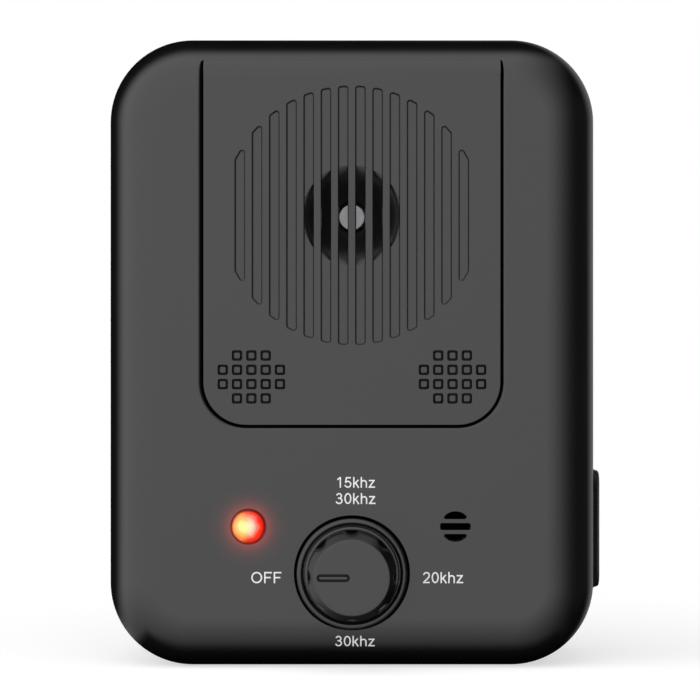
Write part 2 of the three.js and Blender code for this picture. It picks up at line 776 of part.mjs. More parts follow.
function bezel() {
  const rimY = frontY - BEZEL.rise;
  const backY = bezelSeatY - FIT.running;
  const edge = 0.25;
  return turned([
    [SWITCH.bushingR + FIT.pin, backY],
    [bezelOuterR, backY],
    [bezelOuterR, rimY + edge],
    [bezelOuterR - edge, rimY],
    [bezelInnerR + edge, rimY],
    [bezelInnerR, rimY + edge],
    [bezelInnerR, bezelFloorY],
    [SWITCH.bushingR + FIT.pin, bezelFloorY],
    [SWITCH.bushingR + FIT.pin, backY],
  ], FACETS.large);
}

/** The shaft with its flat towards +Z at the knob's end. */
function shaft(rearEndY) {
  const frontEndY = knobTopY + KNOB.cap + 0.5;
  const flatToY = frontY - 3.6;
  const flat = block([-5, frontEndY - 1, SWITCH.shaftR - SWITCH.flat], [5, flatToY, 5]);
  return disc(SWITCH.shaftR, frontEndY, rearEndY).subtract(flat);
}

function switchGroup() {
  const group = assembly(0, 0, KNOB.centreZ);
  const { size, plate, bushingR, bushingLength, shaftR, bodyDepth, cavityR, rotorR, rotorThick } = SWITCH;
  piece(group, "knob_bezel", bezel(), COLOUR.housing, 0.45);
  piece(group, "knob", knob(), COLOUR.housing, 0.5);
  const washerY = bezelFloorY - FIT.running;
  const washer = ring(SWITCH.washerR, bushingR + FIT.pin, washerY - SWITCH.washerThick, washerY);
  piece(group, "switch_washer", washer, COLOUR.steel, 0.35, 1);
  const nutY = washerY - SWITCH.washerThick - FIT.running;
  const nut = disc(SWITCH.nutR, nutY - SWITCH.nutThick, nutY, 6);
  const thread = disc(bushingR + FIT.pin, nutY - SWITCH.nutThick - 1, nutY + 1);
  piece(group, "switch_nut", nut.subtract(thread), COLOUR.nickel, 0.3, 1);

  const plateShape = roundRect(size, size, 1);
  const bushing = prism(plateShape, switchPlateY, switchPlateY + plate, 2).add(
    disc(bushingR, switchPlateY - bushingLength, switchPlateY + 0.2),
  );
  const shaftHole = disc(shaftR + FIT.running, frontY - 20, boardFrontY);
  piece(group, "switch_bushing", bushing.subtract(shaftHole), COLOUR.nickel, 0.35, 1);
  const body = prism(plateShape, switchBodyY, switchBodyY + bodyDepth, 2);
  const cavity = disc(cavityR, switchBodyY - 1, switchBodyY + bodyDepth + 1);
  piece(group, "switch_body", body.subtract(cavity), COLOUR.felt);

  const rotorY = switchBodyY + 1.4;
  piece(group, "switch_shaft", shaft(rotorY + rotorThick + 0.4), COLOUR.steel, 0.3, 1);
  const { ballR, ballTrackR } = SWITCH;
  const seat = disc(ballR + FIT.pin, rotorY - 1, rotorY + ballR, FACETS.small, -ballTrackR, 0);
  const rotor = ring(rotorR, shaftR + FIT.running, rotorY, rotorY + rotorThick);
  piece(group, "switch_rotor", rotor.subtract(seat), COLOUR.white);
  const sphere = solid(new THREE.SphereGeometry(ballR, 12, 8));
  const ball = piece(group, "detent_ball", sphere, COLOUR.steel, 0.2, 1);
  ball.position.set(-ballTrackR, rotorY, 0);
  const leafY = switchBodyY + FIT.touch;
  const leaf = ring(cavityR - FIT.touch, shaftR + 0.5, leafY, leafY + 0.25);
  piece(group, "detent_spring", leaf, COLOUR.brass, 0.35, 1);

  const track = SWITCH.pinTrack;
  const tipY = boardRearY + BOARD.pinThrough;
  const pins = quadrants.map(([sx, sz]) =>
    disc(SWITCH.pinR, switchBaseY + 0.2, tipY, FACETS.small, sx * track, sz * track),
  );
  const base = prism(plateShape, switchBaseY, switchBaseY + SWITCH.baseThick, 2);
  piece(group, "switch_base", joined([base, ...pins]), COLOUR.copper, 0.7);
}

// ---------------------------------------------------------------- pilot light and microphone

function pilotLight() {
  const group = assembly(LED.x, 0, LED.z);
  const { lensR, dome, flangeR, flange, bulbR, bulb } = LED;
  const seatY = innerFrontY + FIT.touch;
  const steps = 6;
  const crown = Array.from({ length: steps + 1 }, (_, i) => {
    const angle = (i / steps) * (Math.PI / 2);
    return [lensR * Math.sin(angle), frontY - dome * Math.cos(angle)];
  });
  const lens = turned([
    ...crown,
    [lensR, seatY],
    [flangeR, seatY],
    [flangeR, seatY + flange],
    [bulbR + FIT.slide, seatY + flange],
    [bulbR + FIT.slide, frontY + 1],
    [0, frontY + 0.2],
  ]);
  piece(group, "pilot_lens", lens, COLOUR.red, 0.15);
  const bulbBackY = boardFrontY - 3.4;
  const tipY = bulbBackY - bulb;
  const bulbSolid = turned([
    [0, tipY],
    [bulbR * 0.7, tipY + 0.45],
    [bulbR, tipY + bulbR],
    [bulbR, bulbBackY - 0.8],
    [bulbR + 0.4, bulbBackY - 0.8],
    [bulbR + 0.4, bulbBackY],
    [0, bulbBackY],
  ], FACETS.small);
  const legs = [-LED.legAt, LED.legAt].map((x) =>
    block([x - 0.2, bulbBackY - 0.1, -0.2], [x + 0.2, boardRearY + BOARD.pinThrough, 0.2]),
  );
  piece(group, "pilot_bulb", joined([bulbSolid, ...legs]), COLOUR.red, 0.2);
}

function microphone() {
  const group = assembly(MIC.x, 0, MIC.z);
  const { capsuleR, capsule, bootWall, bootLip } = MIC;
  const frontLipY = innerFrontY + FIT.touch;
  const bootR = capsuleR + FIT.pin + bootWall;
  const capsuleY = frontLipY + bootLip + FIT.touch;
  const boot = turned([
    [MIC.openR, frontLipY],
    [bootR, frontLipY],
    [bootR, capsuleY + capsule + 0.6],
    [capsuleR + FIT.pin, capsuleY + capsule + 0.6],
    [capsuleR + FIT.pin, frontLipY + bootLip],
    [MIC.openR, frontLipY + bootLip],
    [MIC.openR, frontLipY],
  ]);
  piece(group, "mic_boot", boot, COLOUR.rubber, 0.9);
  const tipY = boardRearY + BOARD.pinThrough;
  const legs = [-MIC.legAt, MIC.legAt].map((x) =>
    disc(0.3, capsuleY + capsule - 0.1, tipY, FACETS.small, x, 0),
  );
  const can = disc(capsuleR, capsuleY, capsuleY + capsule);
  piece(group, "mic_capsule", joined([can, ...legs]), COLOUR.steel, 0.35, 1);
}

// ---------------------------------------------------------------- circuit board

function boardOutline() {
  const { bottomZ, topZ, notch } = BOARD;
  const right = boardHalf - notch;
  const shape = new THREE.Shape();
  const corners = [
    [-right, bottomZ],
    [right, bottomZ],
    [right, bottomZ + notch],
    [boardHalf, bottomZ + notch],
    [boardHalf, topZ],
    [-boardHalf, topZ],
    [-boardHalf, bottomZ + notch],
    [-right, bottomZ + notch],
  ];
  corners.forEach(([x, z], i) => (i ? shape.lineTo(x, z) : shape.moveTo(x, z)));
  return shape;
}

/** A small two-way connector: its header stands on the board and its plug sits in front of it. */
function connector(group, name, x, z) {
  const y = boardRearY + FIT.touch;
  const header = cut(block([x - 3.6, y, z - 2.2], [x + 3.6, y + 4, z + 2.2]), [
    block([x - 3, y + 1, z - 1.6], [x + 3, y + 5, z + 1.6]),
  ]);
  piece(group, `${name}_header`, header, COLOUR.white, 0.5);
  const plug = block([x - 2.9, y + 1.1, z - 1.5], [x + 2.9, y + 5.2, z + 1.5]);
  piece(group, `${name}_plug`, plug, COLOUR.white, 0.5);
  return y + 5.2;
}

function circuitBoard() {
  const group = assembly();
  const track = SWITCH.pinTrack;
  const pinHoles = [
    ...quadrants.map(([sx, sz]) => ({ x: sx * track, z: KNOB.centreZ + sz * track })),
    ...[-LED.legAt, LED.legAt].map((x) => ({ x: LED.x + x, z: LED.z })),
    ...[-MIC.legAt, MIC.legAt].map((x) => ({ x: MIC.x + x, z: MIC.z })),
  ];
  const through = (r, at) => disc(r, boardFrontY - 1, boardRearY + 1, FACETS.small, at.x, at.z);
  const board = cut(prism(boardOutline(), boardFrontY, boardRearY), [
    ...pinHoles.map((at) => through(SWITCH.pinR + FIT.pin, at)),
    ...boardPosts.map((at) => through(SCREWS.board.shankR + FIT.pin, at)),
  ]);
  piece(group, "circuit_board", board, COLOUR.board, 0.5);
  boardPosts.forEach((p, i) => {
    const made = piece(group, `board_screw_${i + 1}`, screw(SCREWS.board), COLOUR.steel, 0.35, 1);
    made.position.set(p.x, boardRearY + FIT.touch, p.z);
  });
  const y = boardRearY + FIT.touch;
  const controller = block([-5, y, 28.5], [5, y + 1.7, 34.7]);
  piece(group, "controller_chip", controller, COLOUR.felt, 0.4);
  const coil = turned([
    [0, y],
    [4.6, y],
    [4.6, y + 1.2],
    [3.4, y + 1.4],
    [3.4, y + 6],
    [4.6, y + 6.2],
    [4.6, y + 7.4],
    [0, y + 7.4],
  ], FACETS.medium, -17, 12.5);
  piece(group, "boost_coil", coil, COLOUR.copper, 0.5);
  const capacitor = turned([
    [0, y],
    [3.15, y],
    [3.15, y + 1.4],
    [2.95, y + 1.7],
    [3.15, y + 2],
    [3.15, y + 10.6],
    [2.9, y + 11],
    [0, y + 11],
  ], FACETS.medium, 13, 14.5);
  piece(group, "storage_capacitor", capacitor, COLOUR.felt, 0.3);
  return group;
}

// ---------------------------------------------------------------- charging port

function chargingPort() {
  const group = assembly();
  const { socketLength, socketHeight, socketDepth, socketWall, socketZ } = PORT;
  const pill = (take) => {
    const across = socketHeight - 2 * take;
    return roundRect(across, socketLength - 2 * take, across / 2 - 0.02, socketY, socketZ);
  };
  const rearX = socketMouthX - socketDepth;
  const shell = sidePrism(pill(0), rearX, socketMouthX, 5).subtract(
    sidePrism(pill(socketWall), rearX + 1, socketMouthX + 1, 5),
  );
  piece(group, "socket_shell", shell, COLOUR.steel, 0.3, 1);
  const tongue = block(
    [rearX + 1 + FIT.touch, socketY - 0.35, socketZ - 3.3],
    [socketMouthX - 0.7, socketY + 0.35, socketZ + 3.3],
  );
  piece(group, "socket_tongue", tongue, COLOUR.felt, 0.5);

  const { coverWidth, coverLength, coverZ, coverProud, seatDepth, plugDepth, hingeGap } = PORT;
  const innerX = sideX - seatDepth + FIT.touch;
  const outerX = sideX + coverProud;
  const coverShape = roundRect(coverWidth, coverLength, coverWidth / 2 - 0.1, socketY, coverZ);
  const whole = sidePrism(coverShape, innerX, outerX, 6);
  const above = block([0, -BODY.depth, hingeZ + hingeGap / 2], [BODY.width, BODY.depth, BODY.height]);
  const below = block([0, -BODY.depth, 0], [BODY.width, BODY.depth, hingeZ - hingeGap / 2]);
  const plug = roundRect(
    PORT.throatWidth - 2 * FIT.slide,
    PORT.throatLength - 2 * FIT.slide,
    PORT.throatWidth / 2 - FIT.slide - 0.1,
    socketY,
    socketZ,
  );
  const flap = whole.intersect(below).add(sidePrism(plug, innerX - plugDepth, innerX + 0.2, 6));
  piece(group, "port_cover", flap, COLOUR.rubber, 0.85);
  const stalkX = sideX - BODY.wall - 1.2;
  const stalk = disc(PORT.stalkR, 0, innerX - stalkX + 0.2, FACETS.small).rotate([0, 0, -90]);
  const barb = disc(PORT.stalkR + 0.6, 0, 0.8, FACETS.small).rotate([0, 0, -90]);
  const anchor = joined([
    whole.intersect(above),
    stalk.translate([stalkX, socketY, stalkZ]),
    barb.translate([stalkX - 0.6, socketY, stalkZ]),
  ]);
  piece(group, "port_cover_anchor", anchor, COLOUR.rubber, 0.85);
}

// ---------------------------------------------------------------- battery and leads

function battery() {
  const group = assembly(0, cellY, CELL.z);
  const { r, length, capR, cap, tab, tabWidth } = CELL;
  const lying = (made) => made.rotate([0, 0, 90]);
  const can = disc(r, -length / 2, length / 2);
  const button = disc(capR, -length / 2 - cap, -length / 2 + 0.1);
  piece(group, "battery_cell", lying(can.add(button)), COLOUR.cell, 0.4);
  const plusX = length / 2 + cap + FIT.touch;
  const minusX = -length / 2 - FIT.touch - tab;
  const strap = (x) => block([x, -tabWidth / 2, -tabWidth / 2], [x + tab, tabWidth / 2, tabWidth]);
  piece(group, "battery_tab_plus", strap(plusX), COLOUR.nickel, 0.35, 1);
  piece(group, "battery_tab_minus", strap(minusX), COLOUR.nickel, 0.35, 1);
}

/** An insulated lead along a smooth line through the points. */
function lead(points) {
  const line = new THREE.CatmullRomCurve3(points.map((p) => new THREE.Vector3(...p)));
  const section = new THREE.Shape().absarc(0, 0, 0.55, 0, 2 * Math.PI);
  const settings = { steps: 20, extrudePath: line, bevelEnabled: false, curveSegments: 4 };
  return solid(new THREE.ExtrudeGeometry(section, settings));
}

/** A lead that goes to the minus side in black, or to the plus side in red. */
function leadPiece(group, name, side, line) {
  if (side < 0) piece(group, `${name}_black`, line, COLOUR.rubber, 0.5);
  else piece(group, `${name}_red`, line, COLOUR.red, 0.5);
}

function leads(board, canRearY) {
  const plugZ = BOARD.topZ - 2.8;
  const speakerX = 9;
  const cellX = -9;
  const speakerY = connector(board, "speaker_lead", speakerX, plugZ) + FIT.slide;
  const cellPlugY = connector(board, "battery_lead", cellX, plugZ) + FIT.slide;
  const group = assembly();
  const lugY = canRearY + 3 + FIT.slide;
  [-1, 1].forEach((side) => {
    const line = lead([
      [speakerX + side, speakerY, plugZ],
      [speakerX + side, speakerY + 3, plugZ + 1],
      [speakerX - 2 + 2 * side, speakerY + 5, plugZ + 8],
      [2 + 3 * side, lugY + 2.5, speakerZ - 8],
      [4 * side, lugY + 2, speakerZ - 1.5],
      [4 * side, lugY, speakerZ],
    ]);
    leadPiece(group, "speaker_lead", side, line);
  });
  [-1, 1].forEach((side) => {
    const endX = side * (CELL.length / 2 + 1.1);
    const line = lead([
      [cellX + side, cellPlugY, plugZ],
      [cellX + side, cellPlugY + 3, plugZ + 0.6],
      [cellX + side * 6, cellPlugY + 6.6, plugZ + 1.6 + side],
      [endX * 0.75, cellY + 1.5, CELL.z + CELL.r + 3],
      [endX, cellY + 0.5, CELL.z + CELL.r + 0.8],
      [endX + side * 0.1, cellY, CELL.z + CELL.tabWidth + FIT.slide],
    ]);
    leadPiece(group, "battery_lead", side, line);
  });
}

housing();
const canRearY = speaker();
switchGroup();
pilotLight();
microphone();
const board = circuitBoard();
chargingPort();
battery();
leads(board, canRearY);

export default object;
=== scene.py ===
"""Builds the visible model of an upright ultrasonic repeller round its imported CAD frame.

All lengths are metres in the frame's own axes: X to the right, Z up, the front face towards -Y. A
"plan" loop is a closed line of (x, z) points, as the housing is seen from the front.
"""

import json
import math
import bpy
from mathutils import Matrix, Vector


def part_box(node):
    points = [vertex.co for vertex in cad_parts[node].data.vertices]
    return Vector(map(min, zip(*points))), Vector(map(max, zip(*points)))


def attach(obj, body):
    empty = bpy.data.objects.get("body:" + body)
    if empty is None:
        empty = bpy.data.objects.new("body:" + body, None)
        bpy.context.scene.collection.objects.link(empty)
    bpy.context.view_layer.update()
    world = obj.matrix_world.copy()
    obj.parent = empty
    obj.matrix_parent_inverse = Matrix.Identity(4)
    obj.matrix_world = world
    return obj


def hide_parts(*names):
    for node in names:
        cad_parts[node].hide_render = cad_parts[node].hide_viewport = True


bl_info = {
    "name": "Ultrasonic repeller",
    "version": (1, 0, 0),
    "blender": (4, 5, 0),
    "location": "3D View > Sidebar > Repeller",
    "description": "Builds the visible model of an ultrasonic repeller round its CAD frame",
    "category": "Object",
}

import bmesh
import bpy
import numpy as np
from bpy.props import FloatProperty, IntProperty, PointerProperty, StringProperty

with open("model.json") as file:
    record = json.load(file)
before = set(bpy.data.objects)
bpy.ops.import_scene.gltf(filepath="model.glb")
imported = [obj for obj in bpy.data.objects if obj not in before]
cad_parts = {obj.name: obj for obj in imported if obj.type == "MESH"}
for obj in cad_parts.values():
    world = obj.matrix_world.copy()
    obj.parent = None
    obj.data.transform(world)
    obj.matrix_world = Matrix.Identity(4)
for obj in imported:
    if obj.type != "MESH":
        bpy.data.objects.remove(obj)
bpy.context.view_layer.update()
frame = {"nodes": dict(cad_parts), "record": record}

MM = 0.001
TURN = 2 * math.pi
QUADRANTS = ((-1, -1), (-1, 1), (1, -1), (1, 1))


def span(node):
    """Lowest and highest corner of a CAD node as arrays."""
    low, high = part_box(node)
    return np.array(low), np.array(high)


def middle(node):
    """The middle of a CAD node's box."""
    low, high = span(node)
    return (low + high) / 2


FRONT_LOW, FRONT_HIGH = span("front_cover")
REAR_HIGH = span("rear_cover")[1]
WIDTH = float(FRONT_HIGH[0] - FRONT_LOW[0])
HEIGHT = float(FRONT_HIGH[2])
FACE_Y = float(FRONT_LOW[1])
PART_Y = float(FRONT_HIGH[1])
BACK_Y = float(REAR_HIGH[1])
GRILLE_LOW, GRILLE_HIGH = span("grille_panel")
HORN_Z = float(middle("speaker_can")[2])
KNOB_Z = float(middle("switch_shaft")[2])
LAMP = middle("pilot_lens")
MIC = middle("mic_boot")
COVER_LOW, COVER_HIGH = span("port_cover")
ANCHOR_HIGH = span("port_cover_anchor")[1]
PORT_Y = float(middle("port_cover")[1])
TONGUE_Y = float(span("rear_cover")[0][1])
SOCKET_Z = float(middle("socket_shell")[2])
CASE_SCREWS = [f"case_screw_{number}" for number in range(1, 5)]
BOARD_SCREWS = [f"board_screw_{number}" for number in range(1, 5)]

SPEAKER_SCREW = 16.5 * MM  # from the horn's axis to its screws, along X and along Z
HANGER_Z = 88 * MM  # height of the hanging slot's round entry
HANGER_TRAVEL = 7 * MM  # from there up to the slot's round end
PER_METRE = 1000  # a pattern's scale is this over its size in millimetres
GLOSSIEST = 0.02  # the least roughness that a wandering gloss may reach


# ---------------------------------------------------------------- sizes and colours


def length(name, description, default):
    """A length property, in metres."""
    return FloatProperty(name=name, description=description, default=default, unit="LENGTH", precision=5)


def colour(name, description, default):
    """An sRGB colour property, as a hex value."""
    return StringProperty(name=name, description=description, default=default)


class HousingSizes(bpy.types.PropertyGroup):
    corner_radius: length("Corner radius", "Corners seen from the front", 14 * MM)
    front_radius: length("Front edge radius", "Rounding from the face to the sides", 8.7 * MM)
    rear_radius: length("Rear edge radius", "Rounding from the back to the sides", 6 * MM)
    wall: length("Wall", "Thickness of both shells", 2 * MM)
    lip: length("Lip", "Thickness of the front shell's lip at the parting line", 0.9 * MM)
    ledge: length("Ledge depth", "How deep the rear shell's tongue sits", 2.2 * MM)
    part_gap: length("Parting gap", "Gap between the two shells", 0.3 * MM)
    edge: length("Mould edge", "Rounding of small moulded edges", 0.18 * MM)
    plastic: colour("Plastic", "Colour of the moulded housing", "#0B0B0C")
    lettering: colour("Lettering", "Colour of the printed dial markings", "#D9D9D8")


class GrilleSizes(bpy.types.PropertyGroup):
    gap: length("Shadow gap", "Gap between the grille and the housing", 0.36 * MM)
    roll: length("Gap edge", "Rounding of the housing's edge at the gap", 0.58 * MM)
    corner_radius: length("Corner radius", "Lower corners of the grille", 7.2 * MM)
    floor: length("Floor", "Depth from the face to the pocket's floor", 1.9 * MM)
    slots: IntProperty(name="Slots", description="Number of sound slots", default=14, min=2)
    pitch: length("Slot pitch", "Spacing of the sound slots", 2.88 * MM)
    slot_width: length("Slot width", "Width of a slot at the face", 1.65 * MM)
    slot_depth: length("Slot depth", "Depth of a slot outside the mouth", 0.8 * MM)
    field_radius: length("Slot field radius", "Radius of the circle the slots end on", 21.65 * MM)
    slot_corner: length("Slot corner", "Radius of a slot's corners", 0.46 * MM)
    mouth_radius: length("Mouth radius", "Radius of the open middle over the horn", 8.4 * MM)
    square: length("Square", "Side of one square perforation", 1.74 * MM)
    moat: length("Moat", "Width of the groove round a square", 0.39 * MM)
    square_pitch: length("Square pitch", "Spacing of the square perforations", 2.39 * MM)
    square_offset: length("Square offset", "From the middle to a cluster's middle", 16.8 * MM)
    square_rise: length("Square rise", "From the grille's foot to a cluster's middle", 8.05 * MM)


class KnobSizes(bpy.types.PropertyGroup):
    top_radius: length("Top radius", "Flat top of the knob", 6.2 * MM)
    rim_radius: length("Rim radius", "Knob under its chamfer", 7.4 * MM)
    skirt_radius: length("Skirt radius", "Knob's skirt inside the fixed ring", 7.92 * MM)
    skirt_bead: length("Skirt bead", "Rounding of the skirt's edge", 0.43 * MM)
    chamfer: length("Chamfer", "Height of the chamfer", 1.38 * MM)
    scallops: IntProperty(name="Scallops", description="Finger scallops on the knob", default=8, min=3)
    scallop_radius: length("Scallop radius", "Radius of one finger scallop", 1.9 * MM)
    scallop_depth: length("Scallop depth", "Depth of one finger scallop", 0.55 * MM)
    pointer_length: length("Pointer length", "Length of the pill-shaped pointer", 5.45 * MM)
    pointer_width: length("Pointer width", "Width of the pill-shaped pointer", 1.25 * MM)
    moat: length("Pointer moat", "Width of the groove round the pointer", 0.42 * MM)
    bezel_radius: length("Bezel radius", "Outside of the fixed ring", 9.24 * MM)
    bezel_inner: length("Bezel inner radius", "Inside of the fixed ring", 8.08 * MM)
    bezel_rise: length("Bezel rise", "How proud the ring stands of the face", 1.5 * MM)
    recess_radius: length("Recess radius", "Housing's recess round the ring", 9.62 * MM)
    recess_depth: length("Recess depth", "Depth of that recess", 1 * MM)


class DetailSizes(bpy.types.PropertyGroup):
    lamp_radius: length("Pilot lens radius", "Radius of the pilot lens", 2.8 * MM)
    lamp_dome: length("Pilot lens dome", "How proud the lens stands", 2 * MM)
    mic_radius: length("Microphone radius", "Radius of the microphone port", 2.5 * MM)
    mic_slot: length("Microphone slot", "Half height of its middle slot", 0.54 * MM)
    mic_rib: length("Microphone rib", "From its middle to the outer slots", 1.28 * MM)
    cover_radius: length("Port cover radius", "Round ends of the rubber cover", 4.1 * MM)
    hinge_gap: length("Hinge gap", "Gap between the cover's flap and its fixed end", 0.08 * MM)
    screw_head: length("Screw head", "Radius of a case screw's head", 2.8 * MM)
    rubber: colour("Rubber", "Colour of the rubber cover", "#060607")
    glow: colour("Glow", "Colour the lamp throws on the plastic", "#FF5A50")


class StageSettings(bpy.types.PropertyGroup):
    distance: length("Camera distance", "From the camera to the origin along Y", 493 * MM)
    eye: length("Camera height", "Height of the camera", 53.4 * MM)
    aside: length("Camera offset", "Camera's place along X", -0.23 * MM)
    lens: FloatProperty(name="Lens", description="Focal length in millimetres", default=146.3)
    key: FloatProperty(name="Key light", description="Brightness of the soft key light", default=1.81)
    back: FloatProperty(name="Back light", description="Brightness of the soft back light", default=0.38)
    side: FloatProperty(name="Side light", description="Brightness of the light on the right", default=0.05)
    fill: FloatProperty(name="Fill light", description="Brightness from everywhere else", default=0.004)


GROUPS = {
    "repeller_housing": HousingSizes,
    "repeller_grille": GrilleSizes,
    "repeller_knob": KnobSizes,
    "repeller_details": DetailSizes,
    "repeller_stage": StageSettings,
}


# ---------------------------------------------------------------- numpy surfaces


def rounded(width, height, radius, x=0.0, z=0.0, steps=20):
    """A rectangle with round corners as a plan loop.

    Each corner is a quarter circle whose centre lies one radius in from both of its sides.
    """
    angle = np.arange(4)[:, None] * TURN / 4 + np.linspace(0, TURN / 4, steps + 1)
    side_x = np.array([1, -1, -1, 1])[:, None]
    side_z = np.array([1, 1, -1, -1])[:, None]
    px = x + side_x * (width / 2 - radius) + radius * np.cos(angle)
    pz = z + side_z * (height / 2 - radius) + radius * np.sin(angle)
    return np.stack([px.ravel(), pz.ravel()], axis=1)


def circle(radius, x=0.0, z=0.0, steps=96):
    """A circle as a plan loop: the middle plus the radius times (cosine, sine) of the turn."""
    angle = np.arange(steps) * TURN / steps
    return np.stack([x + radius * np.cos(angle), z + radius * np.sin(angle)], axis=1)


def at_depth(loop, y):
    """A plan loop set at a depth along Y."""
    return np.column_stack([loop[:, 0], np.broadcast_to(y, len(loop)), loop[:, 1]])


def on_side(loop, x):
    """A loop drawn in (y, z), set at a place along X."""
    return np.column_stack([np.broadcast_to(x, len(loop)), loop[:, 0], loop[:, 1]])


def loft(loops, caps=True, closed=False):
    """Joins loops of equal length by quads: point j of loop i to point j of loop i + 1.

    A closed loft joins its last loop to its first; an open one may be capped at both ends.
    """
    stack = np.asarray(loops, dtype=float)
    rows, count = stack.shape[:2]
    first = np.arange(rows if closed else rows - 1)[:, None] * count
    second = (first + count) % (rows * count)
    here = np.arange(count)[None, :]
    there = (here + 1) % count
    quads = np.stack([first + here, first + there, second + there, second + here], axis=-1)
    faces = quads.reshape(-1, 4).tolist()
    if caps and not closed:
        faces.append(list(range(count)))
        faces.append(list(range((rows - 1) * count, rows * count)))
    return stack.reshape(-1, 3), faces


def lathe(profile, x=0.0, z=0.0, steps=96, closed=False):
    """Turns (radius, y) points about a line along Y: x and z are the radius times cosine and sine."""
    line = np.asarray(profile, dtype=float)
    angle = np.arange(steps) * TURN / steps
    px = x + line[:, :1] * np.cos(angle)
    pz = z + line[:, :1] * np.sin(angle)
    py = np.repeat(line[:, 1:], steps, axis=1)
    return loft(np.stack([px, py, pz], axis=-1), caps=False, closed=closed)


def arc(radius, centre, start, end, steps=8):
    """Points on a circle between two angles in degrees: the centre plus the radius times (cos, sin)."""
    angle = np.radians(np.linspace(start, end, steps + 1))
    return np.stack([centre[0] + radius * np.cos(angle), centre[1] + radius * np.sin(angle)], axis=1)


def prism(loop, y0, y1):
    """A plan loop carried straight from one depth to another."""
    return loft([at_depth(loop, y0), at_depth(loop, y1)])


def sink(shape, face, depth, flare, draft=0.0, follow=None):
    """A cutter for a hole in the front face whose mouth is rolled over.

    shape(grow) gives the plan loop grown by that much. From the floor the loop widens by the draft up
    to the roll, then follows a quarter circle out to the flare, and goes on past the face. Where the
    face curves away, follow(z) says how far it lies back, and the roll goes back with it.
    """
    angle = np.linspace(0, TURN / 4, 6)
    out = flare * (1 - np.cos(angle))
    back = face + flare * (1 - np.sin(angle))
    floor = face + depth
    least = 0.01 * MM
    proud = 2 * MM
    loops = [at_depth(shape(-draft), floor)]
    for step, (grow, y) in enumerate(zip(out, back), start=1):
        loop = at_depth(shape(grow), y)
        if follow:
            loop[:, 1] = np.minimum(y + follow(loop[:, 2]), floor - step * least)
        loops.append(loop)
    loops.append(at_depth(shape(flare), face - proud))
    return loft(loops)


def sink_back(shape, face, depth, flare):
    """A cutter like sink's, for a hole in the back face."""
    points, faces = sink(shape, -face, depth, flare)
    return points * [1, -1, 1], faces


def bored(radius, centres, y0, y1, steps):
    """Round prisms between two depths, one at each (x, z)."""
    return [prism(circle(radius, x, z, steps), y0, y1) for x, z in centres]


def seen_from_front(nodes):
    """The (x, z) middles of some CAD nodes."""
    return [tuple(middle(node)[[0, 2]]) for node in nodes]


def combined(parts):
    """Several vertex and face lists as one."""
    points, faces, offset = [], [], 0
    for part_points, part_faces in parts:
        points.append(part_points)
        faces += [[index + offset for index in face] for face in part_faces]
        offset += len(part_points)
    return np.concatenate(points), faces


def new_mesh(name, part):
    """A clean mesh from points and faces: doubles merged and every face turned outwards."""
    points, faces = part
    mesh = bpy.data.meshes.new(name)
    mesh.from_pydata(points.tolist(), [], faces)
    cleaned = bmesh.new()
    cleaned.from_mesh(mesh)
    bmesh.ops.remove_doubles(cleaned, verts=cleaned.verts, dist=1e-7)
    bmesh.ops.dissolve_degenerate(cleaned, edges=cleaned.edges, dist=1e-8)
    bmesh.ops.recalc_face_normals(cleaned, faces=cleaned.faces)
    cleaned.to_mesh(mesh)
    cleaned.free()
    return mesh


def new_object(name, part):
    """A mesh object at the origin, in the scene."""
    made = bpy.data.objects.new(name, new_mesh(name, part))
    bpy.context.scene.collection.objects.link(made)
    return made


def carve(piece, parts, operation="DIFFERENCE"):
    """Cuts solids from a piece, or joins them to it, and keeps the result as its mesh."""
    tool = new_object(piece.name + "_tool", combined(parts))
    cut = piece.modifiers.new("carve", "BOOLEAN")
    cut.operation = operation
    cut.solver = "EXACT"
    cut.object = tool
    bpy.context.view_layer.update()
    result = piece.evaluated_get(bpy.context.evaluated_depsgraph_get())
    mesh = bpy.data.meshes.new_from_object(result)
    piece.modifiers.clear()
    old = piece.data
    piece.data = mesh
    bpy.data.meshes.remove(old)
    used = tool.data
    bpy.data.objects.remove(tool)
    bpy.data.meshes.remove(used)
    return piece


def finish(piece, material, body, replaced=(), sharp=32, weighted=True):
    """Shades a piece smoothly up to a sharp angle, gives it its finish and sets it on its body."""
    mesh = piece.data
    mesh.materials.clear()
    mesh.materials.append(material)
    mesh.polygons.foreach_set("use_smooth", np.ones(len(mesh.polygons), dtype=bool))
    mesh.polygons.foreach_set("material_index", np.zeros(len(mesh.polygons), dtype=np.int32))
    mesh.set_sharp_from_angle(angle=math.radians(sharp))
    if weighted:
        normals = piece.modifiers.new("weighted_normals", "WEIGHTED_NORMAL")
        normals.keep_sharp = True
        normals.weight = 80
    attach(piece, body)
    if replaced:
        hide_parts(*replaced)
    return piece


# ---------------------------------------------------------------- materials


def linear(code, alpha=1.0):
    """An sRGB hex value as linear RGBA."""
    value = np.array([int(code[i : i + 2], 16) for i in (1, 3, 5)]) / 255
    low = value / 12.92
    high = ((value + 0.055) / 1.055) ** 2.4
    return (*np.where(value <= 0.04045, low, high).tolist(), alpha)


def add_node(tree, kind, inputs=None, **settings):
    """Adds a node, sets its properties, and fills each input with a value or links it to a socket."""
    made = tree.nodes.new(kind)
    for key, value in settings.items():
        setattr(made, key, value)
    for key, value in (inputs or {}).items():
        if isinstance(value, bpy.types.NodeSocket):
            tree.links.new(value, made.inputs[key])
        else:
            made.inputs[key].default_value = value
    return made


